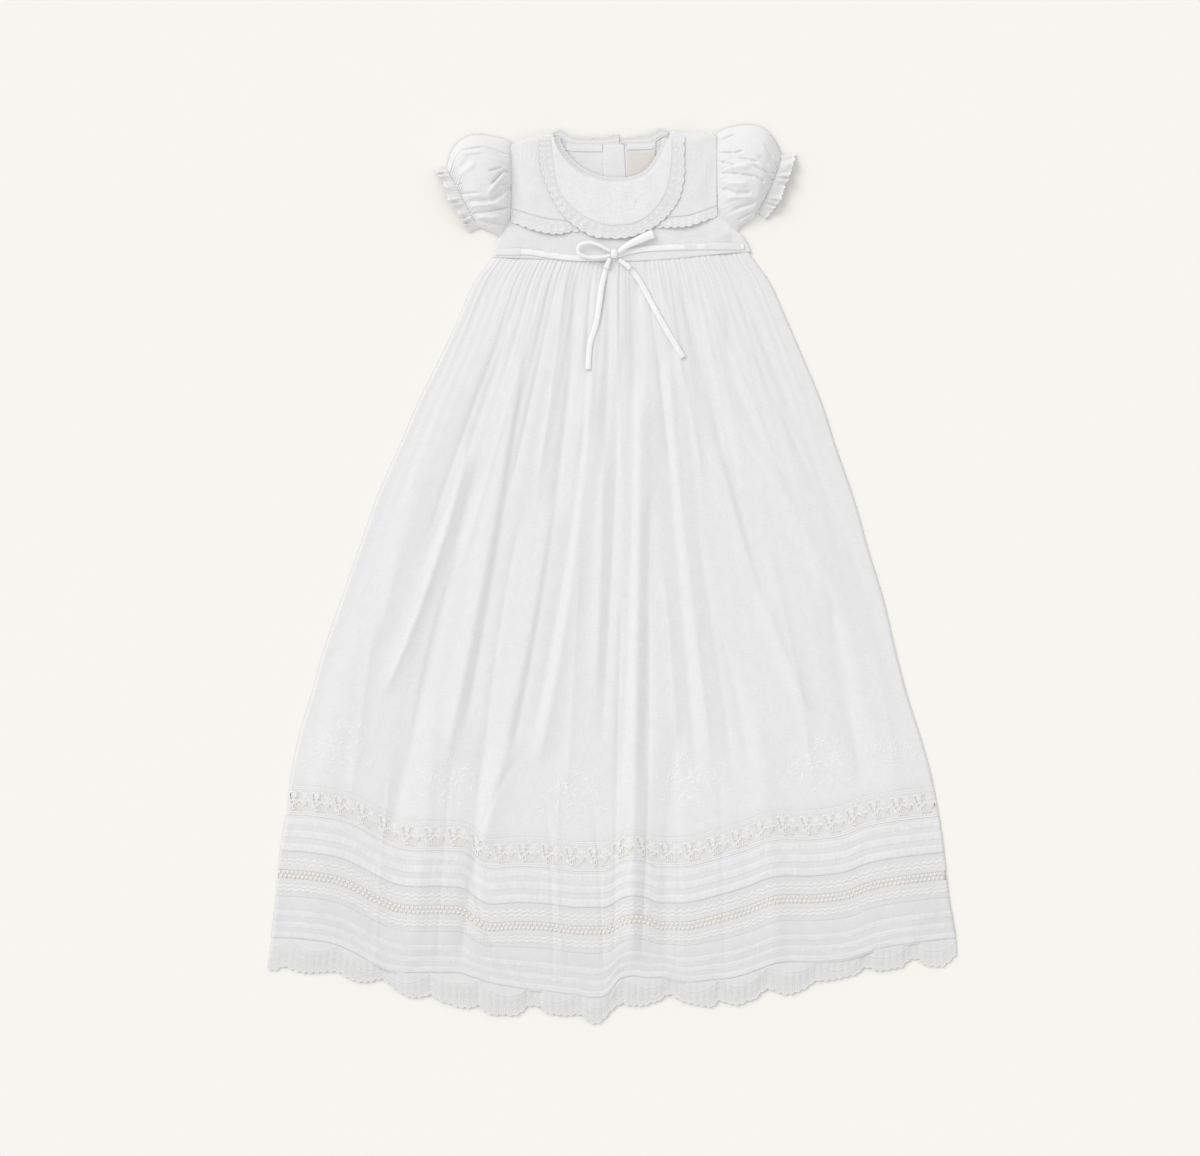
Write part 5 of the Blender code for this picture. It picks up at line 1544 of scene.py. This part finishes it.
def add_knot():
    """The knot of the bow: ribbon wrapped tightly round, with its folds drawn together."""
    mesh = bmesh.new()
    bmesh.ops.create_uvsphere(mesh, u_segments=48, v_segments=32, radius=0.5)
    x, y = BOW_KNOT_CENTRE
    base = over_ribbon(x, y) - KNOT_SEAT
    wide, long, high = BOW_KNOT_SIZE
    for vert in mesh.verts:
        px, py, pz = vert.co * 2.0
        square = (abs(px) ** 3 + abs(py) ** 3 + abs(pz) ** 3 + 1e-9) ** (-1 / 3)
        fold = 1.0 + 0.05 * math.sin(9.0 * px + 1.5 * py) * abs(pz) + 0.03 * math.sin(16.0 * px)
        pinch = 1.0 - 0.14 * math.exp(-(py / 0.35) ** 2)
        scale = 0.5 * (0.55 + 0.45 * square) * fold
        vert.co = ((x + px * scale * wide * pinch) * MM, (y + py * scale * long) * MM,
                   (base + (pz * scale + 0.5) * high) * MM)
    dress(plain_piece("bow_knot_satin", mesh, 0.0), "satin_ribbon", ["bow_knot"])


STITCH_HEIGHT = 0.32
LINE_HEIGHT = 0.3


def stitch(mesh, points, widths, surface, height=STITCH_HEIGHT, smoothing=4):
    """A raised line of satin stitch along a few points, as wide at each as its width says."""
    points = np.array(points, float)
    marks = np.arange(len(points), dtype=float)
    rows = Table("step x y width", *np.column_stack((marks, points, np.broadcast_to(widths, len(points)))))
    columns = max(2, smoothing * (len(points) - 1))
    made = bmesh.ops.create_grid(mesh, x_segments=columns, y_segments=4, size=0.5)["verts"]
    t = np.array([(vert.co.x + 0.5) * (len(points) - 1) for vert in made])
    v = np.array([2.0 * vert.co.y for vert in made])
    x, y = rows.read("x", "step", t), rows.read("y", "step", t)
    ahead = np.minimum(t + 0.1, len(points) - 1.0)
    behind = np.maximum(t - 0.1, 0.0)
    dx = rows.read("x", "step", ahead) - rows.read("x", "step", behind)
    dy = rows.read("y", "step", ahead) - rows.read("y", "step", behind)
    run = np.hypot(dx, dy) + 1e-9
    half = 0.5 * rows.read("width", "step", t) * v
    x, y = x - dy / run * half, y + dx / run * half
    z = surface(x, y) + height * (1.0 - v * v) * np.minimum(1.0, rows.read("width", "step", t)) - 0.05
    for vert, px, py, pz in zip(made, x, y, z):
        vert.co = (px * MM, py * MM, pz * MM)


def turned(points, centre, turn, size):
    """Points of a motif placed, turned and sized about a centre."""
    c = math.cos(turn) * size
    s = math.sin(turn) * size
    return [(centre[0] + c * x - s * y, centre[1] + s * x + c * y) for x, y in points]


def beside(centre, angle, away):
    """A point some way from a centre."""
    return centre[0] + away * math.cos(angle), centre[1] + away * math.sin(angle)


def stitched_leaf(mesh, base, turn, long, wide, surface):
    """A leaf or petal of satin stitch that starts at its base."""
    points = turned(((0.0, 0.0), (0.3, 0.05), (0.6, 0.05), (1.0, 0.0)), base, turn, long)
    stitch(mesh, points, (0.25, wide, wide, 0.2), surface, smoothing=3)


def stitched_flower(mesh, centre, radius, surface, petals=6, turn=0.2):
    """Petals of satin stitch round a centre."""
    for k in range(petals):
        angle = turn + 2 * math.pi * k / petals
        base = beside(centre, angle, 0.3 * radius)
        stitched_leaf(mesh, base, angle, 0.75 * radius, 0.42 * radius, surface)


def stitched_ring(mesh, centre, radius, surface, width=0.55):
    points = [beside(centre, angle, radius) for angle in np.linspace(0.0, 2 * math.pi, 13)]
    stitch(mesh, points, width, surface, smoothing=1)


SPRAYS = Table(
    "x y size turn flip",
    (-250, -166, 1.0, 0.05, 1), (-144, -196, 1.0, -0.06, -1), (-34, -209, 1.0, 0.04, 1),
    (74, -196, 1.0, 0.08, -1), (190, -183, 1.0, 0.12, 1), (258, -166, 0.7, 0.2, -1),
)
SPRAY_STEMS = (
    ((-30, -4), (-20, 2), (-8, 2), (4, -4), (16, -2), (28, 6)),
    ((-4, 0), (-6, 10), (-2, 20), (4, 28)),
    ((8, -4), (14, 6), (12, 16), (20, 24)),
    ((-16, 3), (-20, 12), (-26, 18)),
    ((2, -3), (0, -12), (-8, -18)),
    ((18, -1), (24, -8), (30, -12)),
    ((-10, 2), (-14, 10), (-12, 18)),
    ((6, -4), (12, -9), (11, -14)),
    ((14, 8), (22, 14), (27, 20), (25, 24), (22, 22)),
    ((-6, 12), (-12, 24), (-18, 26), (-19, 22)),
)
SPRAY_CURLS = (
    ((-26, 18), (-31, 20), (-33, 16), (-30, 13), (-28, 15)),
    ((28, 6), (33, 10), (37, 7), (34, 3), (31, 5)),
    ((-8, -18), (-13, -20), (-16, -16), (-13, -13), (-11, -15)),
)
SPRAY_FLOWERS = Table(
    "x y radius",
    (-3, 9, 7.5), (17, 12, 5.5), (-21, 8, 4.5), (4, 28, 5.0), (24, -9, 3.6), (-12, 18, 3.8),
    (11, 23, 3.6), (-29, -8, 3.4), (11, -14, 3.8), (-8, -9, 3.2), (31, 13, 3.6), (-16, -5, 3.0),
)
SPRAY_LEAVES = Table(
    "x y turn long wide",
    (-24, 0, 2.2, 8, 2.6), (-14, 3, -1.9, 8, 2.6), (-2, -1, -2.4, 8, 2.6), (8, -4, -0.9, 9, 2.8),
    (12, 4, 2.6, 7, 2.2), (22, 2, 1.7, 8, 2.4), (-4, 16, 2.9, 7, 2.2), (-2, 21, 0.5, 7, 2.2),
    (14, 18, 2.6, 6, 2.0), (20, 24, 1.0, 6, 2.0), (-19, 11, 0.6, 6, 2.0), (0, -10, 0.2, 6, 2.2),
    (-3, -14, -2.8, 6, 2.0), (27, -10, 0.4, 6, 1.8), (-30, -4, 3.4, 7, 2.2),
)


STEM_WIDTH = 0.75
CURL_WIDTH = 0.7
# The spray on the round collar: leaves round a flower, and a leafy stem that is mirrored
COLLAR_SPRAY = (1.0, 341.5)
COLLAR_LEAF_TURNS = (-0.5, 0.35, 1.2, 1.95, 2.8, 3.65)
COLLAR_STEM = ((2, 338), (8, 333), (15, 334), (21, 340), (25, 349))
COLLAR_STEM_LEAVES = Table("x y turn", (8, 333, -1.0), (12, 333, 0.9), (17, 336, -0.4), (21, 341, 1.9),
                           (24, 346, 0.5))
# Columns of eyelets on the cape, each between two lines of stitches
EYELET_COLUMNS = (-77.0, 79.0)
EYELET_TOP = 390.0
EYELET_PITCH = 9.0
EYELETS = 6
EYELET_LEAF_TURNS = (0.9, 2.2, -0.9, -2.2)
EYELET_LINES = (-6.5, 6.5)


def skirt_surface(x, y):
    left, right = skirt_sides(y)
    return skirt_top((x - left) / (right - left), y)


def add_skirt_spray(mesh, x, y, size, turn, flip):
    """One spray of stems, curls, flowers and leaves, mirrored where flip is -1."""
    def put(points):
        return turned([(flip * px, py) for px, py in points], (x, y), turn, size)

    for stem in SPRAY_STEMS:
        stitch(mesh, put(stem), STEM_WIDTH, skirt_surface)
    for curl in SPRAY_CURLS:
        stitch(mesh, put(curl), CURL_WIDTH, skirt_surface)
    for fx, fy, radius in SPRAY_FLOWERS.rows:
        centre = put(((fx, fy),))[0]
        stitched_flower(mesh, centre, radius * size, skirt_surface)
        stitched_ring(mesh, centre, 0.22 * radius * size, skirt_surface)
    for lx, ly, angle, long, wide in SPRAY_LEAVES.rows:
        facing = turn + (angle if flip > 0 else math.pi - angle)
        stitched_leaf(mesh, put(((lx, ly),))[0], facing, long * size, wide * size, skirt_surface)


def add_collar_spray(mesh):
    for angle in COLLAR_LEAF_TURNS:
        stitched_leaf(mesh, beside(COLLAR_SPRAY, angle, 4.2), angle, 6.5, 2.0, collar_top)
    stitched_flower(mesh, COLLAR_SPRAY, 4.2, collar_top)
    for flip in (-1, 1):
        stem = [(COLLAR_SPRAY[0] + flip * px, py) for px, py in COLLAR_STEM]
        stitch(mesh, stem, CURL_WIDTH, collar_top, LINE_HEIGHT)
        for px, py, angle in COLLAR_STEM_LEAVES.rows:
            facing = angle if flip > 0 else math.pi - angle
            stitched_leaf(mesh, (COLLAR_SPRAY[0] + flip * px, py), facing, 4.5, 1.5, collar_top)


def add_eyelets(mesh):
    for column in EYELET_COLUMNS:
        for row in range(EYELETS):
            centre = (column, EYELET_TOP - EYELET_PITCH * row)
            stitched_ring(mesh, centre, 2.1, cape_top, 0.8)
            for angle in EYELET_LEAF_TURNS:
                stitched_leaf(mesh, beside(centre, angle, 2.8), angle, 3.0, 1.1, cape_top)
        for offset in EYELET_LINES:
            line = [(column + offset, y) for y in np.linspace(396.0, 342.0, 8)]
            stitch(mesh, line, CURL_WIDTH, cape_top, LINE_HEIGHT)


def add_embroidery():
    """White sprays above the lace, a spray on the round collar and eyelets on the cape."""
    mesh = bmesh.new()
    for spray in SPRAYS.rows:
        add_skirt_spray(mesh, *spray)
    dress(plain_piece("skirt_embroidery", mesh, 1.0), "lawn")
    for name, add in (("collar_embroidery", add_collar_spray), ("cape_embroidery", add_eyelets)):
        mesh = bmesh.new()
        add(mesh)
        dress(plain_piece(name, mesh, 1.0), "lawn")


def colour(name, description, default):
    return FloatVectorProperty(name=name, description=description, subtype="COLOR", default=default,
                               min=0.0, max=1.0)


class GownSizes(PropertyGroup):
    """Sizes of the weave and the stage"""
    weave_pitch: FloatProperty(name="Weave pitch", description="From one thread of the lawn to the next",
                               default=0.00062, min=0.0002, max=0.002, unit="LENGTH")
    lens: FloatProperty(name="Lens", description="Focal length of the camera", default=0.1, min=0.02,
                        max=0.3, unit="CAMERA")
    view_width: FloatProperty(name="View width", description="Width of the surface that the camera sees",
                              default=1.104, min=0.5, max=3.0, unit="LENGTH")
    view_centre: FloatVectorProperty(name="View centre", description="Where the camera looks",
                                     default=(-0.0106, -0.0041), size=2, unit="LENGTH")
    key_light: FloatProperty(name="Main light", description="Strength of the soft light from one side",
                             default=1.15, min=0.0)
    sky_light: FloatProperty(name="All-round light", description="Strength of the even light",
                             default=0.765, min=0.0)


class GownColours(PropertyGroup):
    """Colours of the cloths and of the surface"""
    lawn: colour("Lawn", "One layer of the cotton", (0.835, 0.835, 0.838))
    lawn_layers: colour("Lawn in layers", "Tucks and hems, where it lies thicker", (0.888, 0.889, 0.902))
    lace: colour("Lace thread", "Cotton of the lace", (0.835, 0.834, 0.832))
    # Lace ground: painted shade of the net's openings, where shaded layers below show through.
    lace_gap_painted_shade: colour("Lace ground", "What shows through the fine net", (0.725, 0.722, 0.716))
    # Lace behind: painted shade, the backs of the lace bands as they show through the openings.
    lace_painted_shade: colour("Lace behind", "The back of the lace, in its own shade", (0.87, 0.845, 0.80))
    satin: colour("Ribbon", "Satin ribbon", (0.945, 0.945, 0.955))
    label: colour("Label", "Blank label inside the neck", (0.79, 0.762, 0.712))
    floor: colour("Surface", "What the gown lies on", (0.930, 0.922, 0.871))


SENSOR_WIDTH = 36.0
CAMERA_REACH = 50.0
SURFACE_HALF = 6.0
LIGHT_FROM = (-0.75, 0.7, 0.85)
LIGHT_SOFTNESS = 35.0


def look_down():
    """Camera straight above, framed as wide as the view asks."""
    sizes = bpy.context.scene.gown_sizes
    data = bpy.data.cameras.new("camera")
    data.sensor_width = SENSOR_WIDTH
    data.lens = sizes.lens / MM
    data.clip_end = CAMERA_REACH
    camera = bpy.data.objects.new("camera", data)
    bpy.context.scene.collection.objects.link(camera)
    distance = sizes.view_width * data.lens / data.sensor_width
    camera.location = (*sizes.view_centre, distance)
    bpy.context.scene.camera = camera


def soft_light(name, direction, strength, softness):
    """Even light from far away, as soft as a large window."""
    data = bpy.data.lights.new(name, "SUN")
    data.energy = strength
    data.angle = math.radians(softness)
    light = bpy.data.objects.new(name, data)
    light.rotation_euler = (-Vector(direction)).to_track_quat("-Z", "Y").to_euler()
    bpy.context.scene.collection.objects.link(light)


def add_stage():
    """Surface, soft light and camera."""
    sizes = bpy.context.scene.gown_sizes
    mesh = bmesh.new()
    bmesh.ops.create_grid(mesh, x_segments=1, y_segments=1, size=SURFACE_HALF)
    surface = plain_piece("studio_floor", mesh, 0.0)
    surface.data.materials.append(floor_paint())
    world = bpy.data.worlds.new("studio")
    bpy.context.scene.world = world
    world.use_nodes = True
    sky = world.node_tree.nodes["Background"]
    sky.inputs["Color"].default_value = (1.0, 1.0, 1.0, 1.0)
    sky.inputs["Strength"].default_value = sizes.sky_light
    soft_light("main_light", LIGHT_FROM, sizes.key_light, LIGHT_SOFTNESS)
    bpy.context.scene.view_settings.view_transform = "Standard"
    look_down()


class GOWN_OT_stage(Operator):
    """Surface, soft light and camera"""
    bl_idname = "gown.stage"
    bl_label = "Stage"
    bl_options = {"REGISTER", "UNDO"}

    def execute(self, context):
        add_stage()
        return {"FINISHED"}


class GOWN_OT_skirt(Operator):
    """Gathered front of the skirt, and the plain back that it lies on"""
    bl_idname = "gown.skirt"
    bl_label = "Skirt"
    bl_options = {"REGISTER", "UNDO"}

    def execute(self, context):
        add_skirt()
        return {"FINISHED"}


class GOWN_OT_insertion_lace(Operator):
    """Flower lace let in round the skirt"""
    bl_idname = "gown.insertion_lace"
    bl_label = "Insertion Lace"
    bl_options = {"REGISTER", "UNDO"}

    def execute(self, context):
        add_insertion_lace()
        return {"FINISHED"}


class GOWN_OT_tucks(Operator):
    """Two bands with three tucks each, front and back"""
    bl_idname = "gown.tucks"
    bl_label = "Tucked Bands"
    bl_options = {"REGISTER", "UNDO"}

    def execute(self, context):
        add_tuck_bands()
        return {"FINISHED"}


class GOWN_OT_beading_lace(Operator):
    """Open ladder of knots between two scalloped edges"""
    bl_idname = "gown.beading_lace"
    bl_label = "Beading Lace"
    bl_options = {"REGISTER", "UNDO"}

    def execute(self, context):
        add_beading_lace()
        return {"FINISHED"}


class GOWN_OT_hem_lace(Operator):
    """Deep hem lace in fans, front and back"""
    bl_idname = "gown.hem_lace"
    bl_label = "Hem Lace"
    bl_options = {"REGISTER", "UNDO"}

    def execute(self, context):
        add_hem_lace()
        return {"FINISHED"}


class GOWN_OT_bodice(Operator):
    """Bodice front, and its back in two halves"""
    bl_idname = "gown.bodice"
    bl_label = "Bodice"
    bl_options = {"REGISTER", "UNDO"}

    def execute(self, context):
        add_bodice()
        return {"FINISHED"}


class GOWN_OT_cape(Operator):
    """Square cape over the yoke, and its scalloped lace"""
    bl_idname = "gown.cape"
    bl_label = "Square Cape"
    bl_options = {"REGISTER", "UNDO"}

    def execute(self, context):
        add_cape()
        return {"FINISHED"}


class GOWN_OT_round_collar(Operator):
    """Round collar, the lace round it and the lace inside the neck"""
    bl_idname = "gown.round_collar"
    bl_label = "Round Collar"
    bl_options = {"REGISTER", "UNDO"}

    def execute(self, context):
        add_round_collar()
        return {"FINISHED"}


class GOWN_OT_back_neck(Operator):
    """Standing lace, facings, placket and blank label"""
    bl_idname = "gown.back_neck"
    bl_label = "Back Neck"
    bl_options = {"REGISTER", "UNDO"}

    def execute(self, context):
        add_back_neck()
        return {"FINISHED"}


class GOWN_OT_sleeves(Operator):
    """Puff sleeves and their cuff frills"""
    bl_idname = "gown.sleeves"
    bl_label = "Puff Sleeves"
    bl_options = {"REGISTER", "UNDO"}

    def execute(self, context):
        add_sleeves()
        return {"FINISHED"}


class GOWN_OT_ribbon(Operator):
    """Satin ribbon round the waist, its carriers and its bow"""
    bl_idname = "gown.ribbon"
    bl_label = "Ribbon and Bow"
    bl_options = {"REGISTER", "UNDO"}

    def execute(self, context):
        add_ribbon()
        return {"FINISHED"}


class GOWN_OT_embroidery(Operator):
    """White sprays and eyelets"""
    bl_idname = "gown.embroidery"
    bl_label = "Embroidery"
    bl_options = {"REGISTER", "UNDO"}

    def execute(self, context):
        add_embroidery()
        return {"FINISHED"}


OPERATORS = [
    GOWN_OT_stage, GOWN_OT_skirt, GOWN_OT_insertion_lace, GOWN_OT_tucks, GOWN_OT_beading_lace,
    GOWN_OT_hem_lace, GOWN_OT_bodice, GOWN_OT_cape, GOWN_OT_round_collar, GOWN_OT_back_neck,
    GOWN_OT_sleeves, GOWN_OT_ribbon, GOWN_OT_embroidery,
]


class GOWN_PT_pieces(Panel):
    """Lists the pieces of the gown and its sizes and colours"""
    bl_label = "Christening Gown"
    bl_space_type = "VIEW_3D"
    bl_region_type = "UI"
    bl_category = "Gown"

    def draw(self, context):
        for operator in OPERATORS:
            self.layout.operator(operator.bl_idname)
        for group in (context.scene.gown_sizes, context.scene.gown_colours):
            for name in group.__annotations__:
                self.layout.prop(group, name)


CLASSES = [GownSizes, GownColours, *OPERATORS, GOWN_PT_pieces]


def register():
    for kind in CLASSES:
        bpy.utils.register_class(kind)
    bpy.types.Scene.gown_sizes = PointerProperty(type=GownSizes)
    bpy.types.Scene.gown_colours = PointerProperty(type=GownColours)


def unregister():
    del bpy.types.Scene.gown_colours
    del bpy.types.Scene.gown_sizes
    for kind in reversed(CLASSES):
        bpy.utils.unregister_class(kind)


def main():
    register()
    for operator in OPERATORS:
        getattr(bpy.ops.gown, operator.bl_idname.split(".")[1])()


if __name__ == "__main__":
    main()
